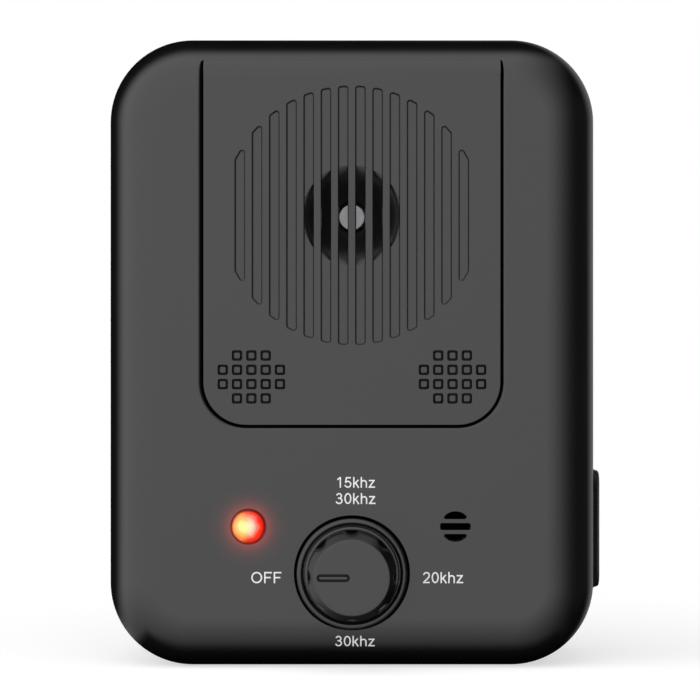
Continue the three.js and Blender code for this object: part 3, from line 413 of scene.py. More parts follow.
def blank_material(name):
    """A material with a shader node and its output, and the Object coordinates its patterns read."""
    made = bpy.data.materials.new(name)
    made.use_nodes = True
    tree = made.node_tree
    tree.nodes.clear()
    shader = add_node(tree, "ShaderNodeBsdfPrincipled")
    output = add_node(tree, "ShaderNodeOutputMaterial")
    tree.links.new(shader.outputs["BSDF"], output.inputs["Surface"])
    place = add_node(tree, "ShaderNodeTexCoord").outputs["Object"]
    return made, tree, shader, place


def finish_material(
    name,
    code,
    roughness,
    metallic=0.0,
    ior=None,
    grain=0.3,
    bump=0.01,
    spread=0.04,
    tint=0.12,
    mottle=9.0,
):
    """A surface with fine grain, and slow changes in gloss and colour.

    grain and mottle are the pattern's sizes in millimetres, bump is the grain's depth in millimetres,
    spread is how far the roughness wanders, and tint how far the colour does.
    """
    made, tree, shader, place = blank_material(name)
    slow = add_node(
        tree,
        "ShaderNodeTexNoise",
        {"Vector": place, "Scale": PER_METRE / mottle, "Detail": 4.0, "Roughness": 0.6},
    )
    fine = add_node(
        tree,
        "ShaderNodeTexNoise",
        {"Vector": place, "Scale": PER_METRE / grain, "Detail": 3.0, "Roughness": 0.55},
    )
    base = np.array(linear(code))
    darker = (*(base[:3] * (1 - tint)).tolist(), 1.0)
    lighter = (*np.minimum(base[:3] * (1 + tint), 1.0).tolist(), 1.0)
    shade = add_node(
        tree,
        "ShaderNodeMix",
        {"Factor": slow.outputs["Fac"], "A": darker, "B": lighter},
        data_type="RGBA",
    )
    gloss = add_node(
        tree,
        "ShaderNodeMapRange",
        {
            "Value": slow.outputs["Fac"],
            "From Min": 0.3,
            "From Max": 0.7,
            "To Min": max(roughness - spread, GLOSSIEST),
            "To Max": roughness + spread,
        },
    )
    relief = add_node(
        tree,
        "ShaderNodeBump",
        {"Height": fine.outputs["Fac"], "Strength": 1.0, "Distance": bump * MM},
    )
    tree.links.new(shade.outputs[2], shader.inputs["Base Color"])
    tree.links.new(gloss.outputs["Result"], shader.inputs["Roughness"])
    tree.links.new(relief.outputs["Normal"], shader.inputs["Normal"])
    shader.inputs["Metallic"].default_value = metallic
    if ior is not None:
        shader.inputs["IOR"].default_value = ior
    return made, tree, shader, place


def distance_from(tree, place, point, flatten=(1.0, 1.0, 1.0)):
    """The distance of the shaded point from a given point, in metres, after scaling each axis."""
    offset = add_node(tree, "ShaderNodeVectorMath", {0: place, 1: tuple(point)}, operation="SUBTRACT")
    scaled = add_node(
        tree, "ShaderNodeVectorMath", {0: offset.outputs[0], 1: flatten}, operation="MULTIPLY"
    )
    return add_node(
        tree, "ShaderNodeVectorMath", {0: scaled.outputs[0]}, operation="LENGTH"
    ).outputs["Value"]


def ramp(tree, value, stops, interpolation="EASE"):
    """A colour ramp over (position, linear colour) stops, placed before they are coloured because the
    ramp sorts its stops."""
    made = add_node(tree, "ShaderNodeValToRGB", {"Fac": value})
    band = made.color_ramp
    band.interpolation = interpolation
    while len(band.elements) < len(stops):
        band.elements.new(0.5)
    for element, (position, shade) in zip(band.elements, stops):
        element.position = position
    for element, (position, shade) in zip(band.elements, stops):
        element.color = shade
    return made.outputs["Color"]


def housing_plastic():
    """ABS, injection moulded with a fine spark-eroded texture: a deep black with a soft, even sheen.

    The real grain is about 0.1 mm and is drawn at 0.3 mm so that it shows. Round the pilot lens the plastic
    is given a painted red glow: emitted light that stands in for the lamp's light falling on the housing,
    and fades within about 4 mm.
    """
    details = bpy.context.scene.repeller_details
    made, tree, shader, place = finish_material(
        "ABS moulded satin black",
        bpy.context.scene.repeller_housing.plastic,
        roughness=0.21,
        ior=1.54,
        grain=0.3,
        bump=0.0012,
        spread=0.02,
        mottle=14.0,
    )
    # Painted glow: red emission on the plastic round the pilot lens stands in for the lamp's light falling
    # on the housing.
    away = distance_from(tree, place, (LAMP[0], FACE_Y, LAMP[2]))
    reach = 8 * MM
    share = add_node(tree, "ShaderNodeMath", {0: away, 1: reach}, operation="DIVIDE")
    glow = np.array(linear(details.glow)[:3])
    # Share of the reach, and how strong the painted glow is there.
    painted_glow_levels = ((0.36, 0.2), (0.45, 0.12), (0.53, 0.06), (0.62, 0.028), (0.72, 0.01), (0.9, 0.0))
    stops = [(position, (*(glow * level).tolist(), 1.0)) for position, level in painted_glow_levels]
    tree.links.new(ramp(tree, share.outputs[0], stops, "LINEAR"), shader.inputs["Emission Color"])
    shader.inputs["Emission Strength"].default_value = 1.0
    return made


# The lit lens's colours: (share of the way out, sRGB) stops for its left half and its right half.
LENS_LEFT = (
    (0.0, "#FFFF9A"),
    (0.2, "#FFF48A"),
    (0.38, "#FFC060"),
    (0.56, "#FF9048"),
    (0.72, "#E05A24"),
    (0.85, "#A04020"),
)
LENS_RIGHT = (
    (0.0, "#FFF8CE"),
    (0.22, "#FFE8C0"),
    (0.42, "#FFBBA8"),
    (0.6, "#FF7A5C"),
    (0.76, "#FF2C18"),
    (0.95, "#C81408"),
)


def lit_lens():
    """PMMA, injection moulded and lit from behind: yellow-hot off its middle, orange to the left and
    red to the right, with a dark rim where the lens meets the housing."""
    made, tree, shader, place = blank_material("PMMA moulded red lit")
    ripple = 1.2
    cloud = add_node(
        tree, "ShaderNodeTexNoise", {"Vector": place, "Scale": PER_METRE / ripple, "Detail": 2.0}
    )
    wander = add_node(
        tree, "ShaderNodeMapRange", {"Value": cloud.outputs["Fac"], "To Min": -0.12, "To Max": 0.12}
    ).outputs[0]
    flat = (1.0, 0.0, 1.0)

    def shade(aside, above, reach, stops):
        """Colours that spread from a point beside the lens's middle, all in millimetres."""
        point = (LAMP[0] + aside * MM, 0.0, LAMP[2] + above * MM)
        away = distance_from(tree, place, point, flat)
        share = add_node(tree, "ShaderNodeMath", {0: away, 1: reach * MM}, operation="DIVIDE")
        where = add_node(tree, "ShaderNodeMath", {0: share.outputs[0], 1: wander}, operation="ADD")
        return ramp(tree, where.outputs[0], [(at, linear(code)) for at, code in stops])

    left = shade(-0.75, 0.1, 3.4, LENS_LEFT)
    right = shade(-0.1, 0.1, 2.9, LENS_RIGHT)
    across = add_node(tree, "ShaderNodeSeparateXYZ", {"Vector": place}).outputs["X"]
    side = add_node(
        tree,
        "ShaderNodeMapRange",
        {"Value": across, "From Min": LAMP[0] - 1.0 * MM, "From Max": LAMP[0] + 0.8 * MM},
        interpolation_type="SMOOTHSTEP",
    ).outputs[0]
    glow = add_node(tree, "ShaderNodeMix", {"Factor": side, "A": left, "B": right}, data_type="RGBA")
    from_middle = distance_from(tree, place, (LAMP[0], 0.0, LAMP[2]), flat)
    rim_outside = 2.78 * MM
    rim_inside = 2.5 * MM
    rim = add_node(
        tree,
        "ShaderNodeMapRange",
        {"Value": from_middle, "From Min": rim_outside, "From Max": rim_inside, "To Min": 0.06},
    ).outputs[0]
    tree.links.new(glow.outputs[2], shader.inputs["Emission Color"])
    tree.links.new(rim, shader.inputs["Emission Strength"])
    shader.inputs["Base Color"].default_value = linear("#4A0A06")
    shader.inputs["Roughness"].default_value = 0.1
    shader.inputs["IOR"].default_value = 1.49
    return made


def brushed_metal(name, code, roughness, stretch):
    """Metal with drawn or turned lines: noise stretched along one axis gives both gloss and relief.

    Real tool marks are about 0.05 mm apart and are drawn at 0.25 mm so that they show.
    """
    made, tree, shader, place = blank_material(name)
    spacing = 0.25
    height = 0.004 * MM
    mapped = add_node(tree, "ShaderNodeMapping", {"Vector": place, "Scale": stretch})
    lines = add_node(
        tree,
        "ShaderNodeTexNoise",
        {"Vector": mapped.outputs[0], "Scale": PER_METRE / spacing, "Detail": 3.0},
    )
    gloss = add_node(
        tree,
        "ShaderNodeMapRange",
        {"Value": lines.outputs["Fac"], "To Min": roughness * 0.75, "To Max": roughness * 1.3},
    )
    relief = add_node(
        tree, "ShaderNodeBump", {"Height": lines.outputs["Fac"], "Strength": 1.0, "Distance": height}
    )
    tree.links.new(gloss.outputs[0], shader.inputs["Roughness"])
    tree.links.new(relief.outputs[0], shader.inputs["Normal"])
    shader.inputs["Base Color"].default_value = linear(code)
    shader.inputs["Metallic"].default_value = 1.0
    return made


def board_material():
    """FR4 with green solder resist: copper tracks show through as lighter, slightly raised lines."""
    made, tree, shader, place = blank_material("FR4 solder resist green")
    upright = add_node(tree, "ShaderNodeMapping", {"Vector": place, "Rotation": (TURN / 4, 0, 0)})
    cells = add_node(
        tree,
        "ShaderNodeTexBrick",
        {
            "Vector": upright.outputs[0],
            "Color1": linear("#0F4A2A"),
            "Color2": linear("#12522F"),
            "Mortar": linear("#2A7A4A"),
            "Scale": 160.0,
            "Mortar Size": 0.03,
        },
    )
    relief = add_node(
        tree, "ShaderNodeBump", {"Height": cells.outputs["Fac"], "Strength": 0.6, "Distance": 0.03 * MM}
    )
    tree.links.new(cells.outputs["Color"], shader.inputs["Base Color"])
    tree.links.new(relief.outputs[0], shader.inputs["Normal"])
    shader.inputs["Roughness"].default_value = 0.3
    return made


def capsule_material():
    """An aluminium can with black felt over its open front: a pale satin can with a lightless face.

    What lies less than the felt's thickness behind the can's front is felt.
    """
    felt_depth = 0.15 * MM
    made, tree, shader, place = finish_material(
        "Aluminium can with felt front", "#B4B6B8", 0.35, metallic=1.0, grain=0.2, bump=0.004
    )
    depth = add_node(tree, "ShaderNodeSeparateXYZ", {"Vector": place}).outputs["Y"]
    front = float(span("mic_capsule")[0][1]) + felt_depth
    metal = add_node(tree, "ShaderNodeMath", {0: depth, 1: front}, operation="GREATER_THAN").outputs[0]
    can = shader.inputs["Base Color"].links[0].from_socket
    felt = add_node(
        tree, "ShaderNodeMix", {"Factor": metal, "A": linear("#050505"), "B": can}, data_type="RGBA"
    )
    tree.links.new(felt.outputs[2], shader.inputs["Base Color"])
    tree.links.new(metal, shader.inputs["Metallic"])
    tree.links.new(metal, shader.inputs["Specular IOR Level"])
    return made


MATERIALS = {}


def material(key):
    """The finish of that name, made the first time it is asked for."""
    if key not in MATERIALS:
        MATERIALS[key] = MAKERS[key]()
    return MATERIALS[key]


def rubber():
    """Thermoplastic rubber, moulded: near black and dull, with a dusty bloom in its gloss."""
    code = bpy.context.scene.repeller_details.rubber
    return finish_material(
        "TPE moulded matt black", code, 0.3, ior=1.48, grain=0.4, bump=0.004, spread=0.08
    )[0]


def printing_ink():
    """Silk-screen ink: flat, matt and slightly uneven in its cover."""
    code = bpy.context.scene.repeller_housing.lettering
    return finish_material(
        "Screen-printed ink light grey", code, 0.6, grain=0.25, bump=0.003, tint=0.05, mottle=3.0
    )[0]


def plain(*words, **sizes):
    """A maker for a finish that needs no pattern of its own."""
    return lambda: finish_material(*words, **sizes)[0]


def tooled(*words):
    """A maker for a metal with tool marks."""
    return lambda: brushed_metal(*words)


MAKERS = {
    "housing": housing_plastic,
    # The same ABS from a finer tool: the knob and its ring are a touch glossier.
    "knob": plain(
        "ABS moulded fine satin black", "#0A0A0B", 0.19, ior=1.54, grain=0.3, bump=0.0008, spread=0.02
    ),
    # ABS with a smooth bore: a deep funnel whose softer gloss keeps bright lines out of it.
    "horn": plain(
        "ABS moulded smooth black", "#0A0A0B", 0.3, ior=1.54, grain=0.5, bump=0.0006, spread=0.03
    ),
    "rubber": rubber,
    # Closed-cell foam, die cut: a coarse, lightless surface.
    "foam": plain("Closed-cell foam grey", "#1E1E20", 0.95, grain=0.6, bump=0.08, tint=0.3),
    "ink": printing_ink,
    "lens": lit_lens,
    "capsule": capsule_material,
    # Zinc-plated steel: bluish grey, with lines from turning.
    "steel": tooled("Steel zinc plated", "#B9BEC4", 0.32, (1.0, 0.12, 1.0)),
    # Nickel over turned brass: warmer and a little brighter than the steel.
    "nickel": tooled("Nickel plated brass", "#C6BFAE", 0.26, (1.0, 0.12, 1.0)),
    # Rolled brass strip: yellow, with lines along the strip.
    "brass": tooled("Brass rolled", "#D0A85C", 0.3, (0.15, 1.0, 1.0)),
    # Rolled aluminium disc: pale and evenly satin.
    "disc": plain("Aluminium disc satin", "#9A9B9D", 0.42, metallic=1.0, grain=0.25, bump=0.002),
    "board": board_material,
    # Epoxy moulded round a component: dark grey with a faint, dry sheen.
    "black_component": plain("Epoxy moulded black", "#17171A", 0.5, ior=1.55, grain=0.2, bump=0.004),
    # Enamelled copper wire, wound: a ribbed orange-brown gleam.
    "copper": plain(
        "Enamelled copper winding", "#9A4F28", 0.25, metallic=1.0, grain=0.35, bump=0.03
    ),
    # Nylon as moulded, uncoloured: a soft, creamy white.
    "white_plastic": plain("Nylon moulded natural", "#DAD8CE", 0.42, ior=1.53, grain=0.5, bump=0.003),
    # Fired piezo ceramic: a chalky, even cream.
    "ceramic": plain("Piezo ceramic fired", "#D9D2C2", 0.55, grain=0.25, bump=0.003, tint=0.06),
    # PVC film shrunk on to the cell: glossy blue with slow ripples.
    "cell": plain(
        "PVC shrink film blue", "#1F4F93", 0.3, ior=1.53, grain=3.0, bump=0.02, mottle=12.0
    ),
    # Metallised polyester film: a flat silver with a faint, even grain.
    "label": plain(
        "Polyester label film silver", "#8E9093", 0.38, metallic=0.5, grain=0.2, bump=0.002, tint=0.05
    ),
    # Extruded PVC insulation: smooth, waxy colour on the two leads.
    "lead_red": plain("PVC insulation red", "#A81710", 0.38, ior=1.53, grain=0.6, bump=0.006),
    "lead_black": plain("PVC insulation black", "#111112", 0.38, ior=1.53, grain=0.6, bump=0.006),
}


# ---------------------------------------------------------------- housing


def body_loops(edge_radius, inset, face, sense, steps=16):
    """Loops of a rounded box from its flat face round to its side.

    At edge angle a the outline is taken in by R times (1 - sin a) and lies R times (1 - cos a) behind
    the face, where R is the edge radius less the inset; sense is 1 for the front and -1 for the back.
    """
    sizes = bpy.context.scene.repeller_housing
    r = edge_radius - inset
    loops = []
    for angle in np.linspace(0, TURN / 4, steps + 1):
        take = inset + r * (1 - math.sin(angle))
        y = face + sense * (inset + r * (1 - math.cos(angle)))
        loops.append(at_depth(outline(take, sizes), y))
    return loops


def outline(take, sizes):
    """The housing's outline from the front, taken in all round."""
    return rounded(
        WIDTH - 2 * take, HEIGHT - 2 * take, sizes.corner_radius - take, 0.0, HEIGHT / 2, steps=24
    )


def apron(grow, top):
    """The grille's plan: straight sides, round lower corners, square upper ones at a given height."""
    sizes = bpy.context.scene.repeller_grille
    half = GRILLE_HIGH[0] + grow
    r = sizes.corner_radius + grow
    low = GRILLE_LOW[2] - grow
    left = arc(r, (-half + r, low + r), 180, 270, 16)
    right = arc(r, (half - r, low + r), 270, 360, 16)
    corners = np.array([[half, top], [-half, top]])
    return np.concatenate([corners, left, right])


def pocket_plan(grow, top):
    """The pocket's plan: the grille's, with each side drawn in to the grille along a quarter of an
    ellipse over its last few millimetres, and close points where the face curves back."""
    drawn_in = 2.2 * MM
    margin = 0.02 * MM
    rise = np.linspace(HEIGHT - 10 * MM, top, 26)
    share = np.clip((top - rise) / drawn_in, 0, 1)
    half = GRILLE_HIGH[0] + margin + (grow - margin) * np.sqrt(1 - (1 - share) ** 2)
    right = np.stack([half, rise], axis=1)
    left = np.stack([-half, rise], axis=1)[::-1]
    return np.concatenate([left, apron(grow, top)[2:], right])


def mic_shapes(grow):
    """The microphone port's three slots as plan loops: a bar and two circle segments, corners eased."""
    sizes = bpy.context.scene.repeller_details
    r = sizes.mic_radius + grow
    rib = sizes.mic_rib - grow
    ease = 0.3 * MM
    bar = rounded(2 * r, 2 * (sizes.mic_slot + grow), ease, MIC[0], MIC[2], steps=5)
    reach = math.degrees(math.acos((rib + ease) / (r - ease))) * 0.93
    cap = arc(r, (0.0, 0.0), 90 - reach, 90 + reach, 24)
    inner = r - ease
    foot = math.sqrt(inner**2 - (rib + ease) ** 2)
    tail = arc(ease, (-foot, rib + ease), 170, 270, 5)
    head = arc(ease, (foot, rib + ease), 270, 370, 5)
    upper = np.concatenate([cap, tail, head])
    lower = upper * [1, -1]
    offset = [MIC[0], MIC[2]]
    return [bar, upper + offset, lower + offset]


def front_shell():
    """The front shell: a rounded box open at the back, with the pocket for the grille, the knob's
    recess, the lens and microphone holes, the charging port and the posts inside."""
    sizes = bpy.context.scene.repeller_housing
    grille = bpy.context.scene.repeller_grille
    knob = bpy.context.scene.repeller_knob
    details = bpy.context.scene.repeller_details
    edge = sizes.edge
    rim = [
        at_depth(outline(0.0, sizes), PART_Y - edge),
        at_depth(outline(0.3 * edge, sizes), PART_Y - 0.3 * edge),
        at_depth(outline(edge, sizes), PART_Y),
        at_depth(outline(sizes.lip, sizes), PART_Y),
        at_depth(outline(sizes.lip, sizes), PART_Y - sizes.ledge),
        at_depth(outline(sizes.wall, sizes), PART_Y - sizes.ledge),
    ]
    loops = body_loops(sizes.front_radius, 0.0, FACE_Y, 1) + rim
    loops += body_loops(sizes.front_radius, sizes.wall, FACE_Y, 1)[::-1]
    shell = new_object("front_shell", loft(loops))

    pocket_y = FACE_Y + grille.floor
    inside_y = FACE_Y + sizes.wall
    root = 0.5 * MM
    speaker_posts_end = -9.5 * MM
    board_posts_end = -7.9 * MM
    corners = [(sx * SPEAKER_SCREW, HORN_Z + sz * SPEAKER_SCREW) for sx, sz in QUADRANTS]
    towers = seen_from_front(CASE_SCREWS)
    posts = bored(2.5 * MM, corners, pocket_y + 2 * root, speaker_posts_end, 40)
    posts += bored(2.5 * MM, seen_from_front(BOARD_SCREWS), inside_y - root, board_posts_end, 40)
    posts += bored(3.2 * MM, towers, inside_y + root, PART_Y, 48)
    backing_margin = grille.gap + 1.6 * MM
    backing_top = 102.3 * MM
    backing = prism(apron(backing_margin, backing_top), pocket_y + 0.05 * MM, pocket_y + 1.6 * MM)
    carve(shell, [backing], "UNION")
    carve(shell, posts, "UNION")

    def fallen(z):
        """How far the front lies back at a height: a quarter circle at the upper edge."""
        over = np.clip(z - (HEIGHT - sizes.front_radius), 0, sizes.front_radius)
        return sizes.front_radius - np.sqrt(sizes.front_radius**2 - over**2)

    pocket_top = float(GRILLE_HIGH[2]) + 0.02 * MM
    pocket = sink(
        lambda grow: pocket_plan(grille.gap + grow, pocket_top),
        FACE_Y,
        grille.floor,
        grille.roll,
        draft=grille.gap * 0.9,
        follow=fallen,
    )
    recess = sink(
        lambda grow: circle(knob.recess_radius + grow, 0.0, KNOB_Z, 160),
        FACE_Y,
        knob.recess_depth,
        0.1 * MM,
        draft=0.4 * MM,
    )
    through = 3 * MM
    lens_hole = details.lamp_radius + 0.1 * MM
    lens = sink(lambda grow: circle(lens_hole + grow, LAMP[0], LAMP[2], 72), FACE_Y, through, edge)
    slots = [
        sink(lambda grow, number=number: mic_shapes(grow)[number], FACE_Y, through, 0.12 * MM)
        for number in range(3)
    ]
    carve(shell, [pocket, recess, lens, *slots])
    wall_end = FACE_Y + 4 * MM
    horn_hole = prism(circle(9.25 * MM, 0.0, HORN_Z, 128), FACE_Y, wall_end)
    shaft_hole = prism(circle(3.2 * MM, 0.0, KNOB_Z, 64), FACE_Y, wall_end)
    pilots = bored(1.6 * MM, towers, -5 * MM, PART_Y + MM, 24)
    carve(shell, [horn_hole, shaft_hole, *pilots])

    side = FRONT_HIGH[0]
    clearance = 0.3 * MM
    seat_depth = 0.9 * MM
    low = COVER_LOW[2]
    high = ANCHOR_HIGH[2]
    seat = rounded(
        COVER_HIGH[1] - COVER_LOW[1] + 2 * clearance,
        high - low + 2 * clearance,
        details.cover_radius + clearance,
        PORT_Y,
        (low + high) / 2,
    )
    throat = rounded(6.8 * MM, 12.8 * MM, 3.3 * MM, PORT_Y, SOCKET_Z)
    carve(shell, [loft([on_side(seat, side - seat_depth), on_side(seat, side + 3 * MM)])])
    carve(shell, [loft([on_side(throat, side - 3 * MM), on_side(throat, side - 0.5 * MM)])])
    return finish(shell, material("housing"), "housing", ["front_cover"], sharp=30)


def keyhole(grow):
    """The hanging slot's plan: a round entry whose top runs into a narrower slot with a round end."""
    entry = 4.2 * MM + grow
    slot = 2.25 * MM + grow
    join = math.degrees(math.asin(slot / entry))
    return np.concatenate([
        arc(entry, (0.0, HANGER_Z), 90 + join, 450 - join, 48),
        arc(slot, (0.0, HANGER_Z + HANGER_TRAVEL), 0, 180, 24),
    ])


def rear_shell():
    """The rear shell: a rounded box with its tongue, screw wells, hanging slot and cell cradle."""
    sizes = bpy.context.scene.repeller_housing
    edge = sizes.edge
    rim_y = PART_Y + sizes.part_gap
    tongue = sizes.lip + 0.3 * MM
    rim = [
        at_depth(outline(0.0, sizes), rim_y + edge),
        at_depth(outline(0.3 * edge, sizes), rim_y + 0.3 * edge),
        at_depth(outline(edge, sizes), rim_y),
        at_depth(outline(tongue, sizes), rim_y),
        at_depth(outline(tongue, sizes), TONGUE_Y),
        at_depth(outline(sizes.wall, sizes), TONGUE_Y),
    ]
    loops = body_loops(sizes.rear_radius, 0.0, BACK_Y, -1) + rim
    loops += body_loops(sizes.rear_radius, sizes.wall, BACK_Y, -1)[::-1]
    shell = new_object("rear_shell", loft(loops))

    inner_y = BACK_Y - sizes.wall
    root_y = inner_y + 0.5 * MM
    towers = seen_from_front(CASE_SCREWS)
    columns = bored(4 * MM, towers, rim_y, root_y, 56)
    half = 4.8 * MM
    wall = 1.2 * MM
    pocket_y = inner_y - 4.6 * MM
    tall = HANGER_TRAVEL + 2 * half
    centre = HANGER_Z + HANGER_TRAVEL / 2
    box = rounded(2 * (half + wall), tall + 2 * wall, wall, 0.0, centre, 6)
    carve(shell, [*columns, prism(box, pocket_y - wall, root_y)], "UNION")
    hollow = rounded(2 * half, tall, 0.5 * MM, 0.0, centre, 6)
    carve(shell, [prism(hollow, pocket_y, inner_y)])
    wells = [
        sink_back(lambda grow, x=x, z=z: circle(3.2 * MM + grow, x, z, 72), BACK_Y, 3.6 * MM, edge)
        for x, z in towers
    ]
    label_z = float(middle("rear_label")[2])
    recess = sink_back(
        lambda grow: rounded(50 * MM + 2 * grow, 28 * MM + 2 * grow, 2 * MM + grow, 0.0, label_z),
        BACK_Y,
        0.4 * MM,
        0.12 * MM,
    )
    slot = sink_back(keyhole, BACK_Y, 2.5 * MM, edge)
    carve(shell, [*wells, recess, slot])
    carve(shell, bored(1.7 * MM, towers, 0.0, BACK_Y, 32))

    cell = middle("battery_cell")
    cradle = 9.3 * MM
    rib_half = 10.75 * MM
    saddle = arc(cradle, (cell[1], cell[2]), 80, -80, 24)
    base = np.array([
        [8 * MM, cell[2] - rib_half],
        [root_y, cell[2] - rib_half],
        [root_y, cell[2] + rib_half],
        [8 * MM, cell[2] + rib_half],
    ])
    rib = np.concatenate([saddle, base])
    places = (-20 * MM, 20 * MM)
    ribs = [loft([on_side(rib, x - 0.8 * MM), on_side(rib, x + 0.8 * MM)]) for x in places]
    carve(shell, ribs, "UNION")
    return finish(shell, material("housing"), "housing", ["rear_cover"], sharp=30)


def filleted(corners, radius, steps=8):
    """A closed polygon with each corner rounded by a true arc.

    The arc is a rational Bezier curve of the second order whose middle weight is the sine of half the
    corner's angle; it leaves each side at the radius over the tangent of that half angle.
    """
    before = np.roll(corners, 1, axis=0) - corners
    after = np.roll(corners, -1, axis=0) - corners
    before /= np.linalg.norm(before, axis=1, keepdims=True)
    after /= np.linalg.norm(after, axis=1, keepdims=True)
    half = np.arccos(np.clip((before * after).sum(axis=1), -1, 1))[:, None] / 2
    start = corners + before * radius / np.tan(half)
    end = corners + after * radius / np.tan(half)
    t = np.linspace(0, 1, steps + 1)[None, :, None]
    weights = (1 - t) ** 2, 2 * t * (1 - t) * np.sin(half)[:, None], t**2
    curve = weights[0] * start[:, None] + weights[1] * corners[:, None] + weights[2] * end[:, None]
    return (curve / sum(weights)).reshape(-1, 2)


def slot_shape(index, grow):
    """One sound slot's plan: straight sides, and ends cut where the round field's edge crosses them.

    At x the field's edge is the root of its radius squared less x squared.
    """
    sizes = bpy.context.scene.repeller_grille
    centre = (index - (sizes.slots - 1) / 2) * sizes.pitch
    half = sizes.slot_width / 2 + grow
    ends = np.array([centre - half, centre + half])
    tops = np.sqrt((sizes.field_radius + grow) ** 2 - ends**2)
    corners = np.array([
        [ends[1], -tops[1]],
        [ends[1], tops[1]],
        [ends[0], tops[0]],
        [ends[0], -tops[0]],
    ])
    return filleted(corners, sizes.slot_corner + grow) + [0.0, HORN_Z]


# How many square perforations stand in each row of a cluster, from the top.
SQUARE_ROWS = (3, 5, 5, 3)


def grille_plate():
    """The sound grille: a thin plate flush with the housing's rounding, with slots cut to a round
    field, an open middle over the horn, and two clusters of square perforations."""
    sizes = bpy.context.scene.repeller_grille
    housing = bpy.context.scene.repeller_housing
    face = float(GRILLE_LOW[1])
    back = face + 1.55 * MM
    top = float(GRILLE_HIGH[2])
    above_top = top + 9 * MM
    z_bend = HEIGHT - housing.front_radius
    edge = 0.15 * MM
    plate = new_object("grille_plate", loft([
        at_depth(apron(-edge, above_top), face),
        at_depth(apron(-0.3 * edge, above_top), face + 0.3 * edge),
        at_depth(apron(0.0, above_top), face + edge),
        at_depth(apron(0.0, above_top), back),
    ]))
    # The plate's upper end follows the housing's rounding: what lies outside the rounding is cut away.
    angle = np.linspace(0, TURN / 4, 33)
    r = housing.front_radius
    bend = np.stack([FACE_Y + r * (1 - np.cos(angle)), z_bend + r * np.sin(angle)], axis=1)
    high = HEIGHT + 20 * MM
    ahead = FACE_Y - 5 * MM
    outside = np.concatenate([bend, [[FACE_Y + r, high], [ahead, high], [ahead, z_bend]]])
    wide = GRILLE_HIGH[0] + 5 * MM
    above = rounded(2 * wide, 40 * MM, MM, 0.0, top + 20 * MM, 2)
    carve(plate, [loft([on_side(outside, -wide), on_side(outside, wide)])])
    carve(plate, [prism(above, face - 5 * MM, back + 5 * MM)])

    roll = 0.13 * MM
    draft = 0.16 * MM
    depth = sizes.slot_depth
    slots = [
        sink(lambda grow, number=number: slot_shape(number, grow), face, depth, roll, draft=draft)
        for number in range(sizes.slots)
    ]
    carve(plate, slots)
    mouth_y = face + depth - 0.25 * MM
    carve(plate, [prism(circle(sizes.mouth_radius, 0.0, HORN_Z, 128), mouth_y, back + MM)])

    cluster_z = GRILLE_LOW[2] + sizes.square_rise
    rings = []
    for side in (-1, 1):
        for row, count in enumerate(SQUARE_ROWS):
            z = cluster_z + ((len(SQUARE_ROWS) - 1) / 2 - row) * sizes.square_pitch
            for column in range(count):
                x = side * sizes.square_offset + (column - (count - 1) / 2) * sizes.square_pitch
                rings.append(square_moat(x, z, face))
    carve(plate, rings)
    return finish(plate, material("housing"), "housing", ["grille_panel"], sharp=30)


def square_moat(x, z, face):
    """A cutter for one square perforation: a square V-shaped ring that leaves its middle standing."""
    sizes = bpy.context.scene.repeller_grille
    proud = face - 0.2 * MM
    bottom = face + 1.7 * sizes.moat
    take = 0.95 * sizes.moat
    outer = sizes.square
    inner = sizes.square - 2 * sizes.moat

    def loop(width, y):
        """A square with slightly round corners."""
        return at_depth(rounded(width, width, width * 0.2, x, z, steps=3), y)

    return loft(
        [
            loop(outer, proud),
            loop(outer, face),
            loop(outer - take, bottom),
            loop(inner + take, bottom),
            loop(inner, face),
            loop(inner, proud),
        ],
        closed=True,
    )


# ---------------------------------------------------------------- controls


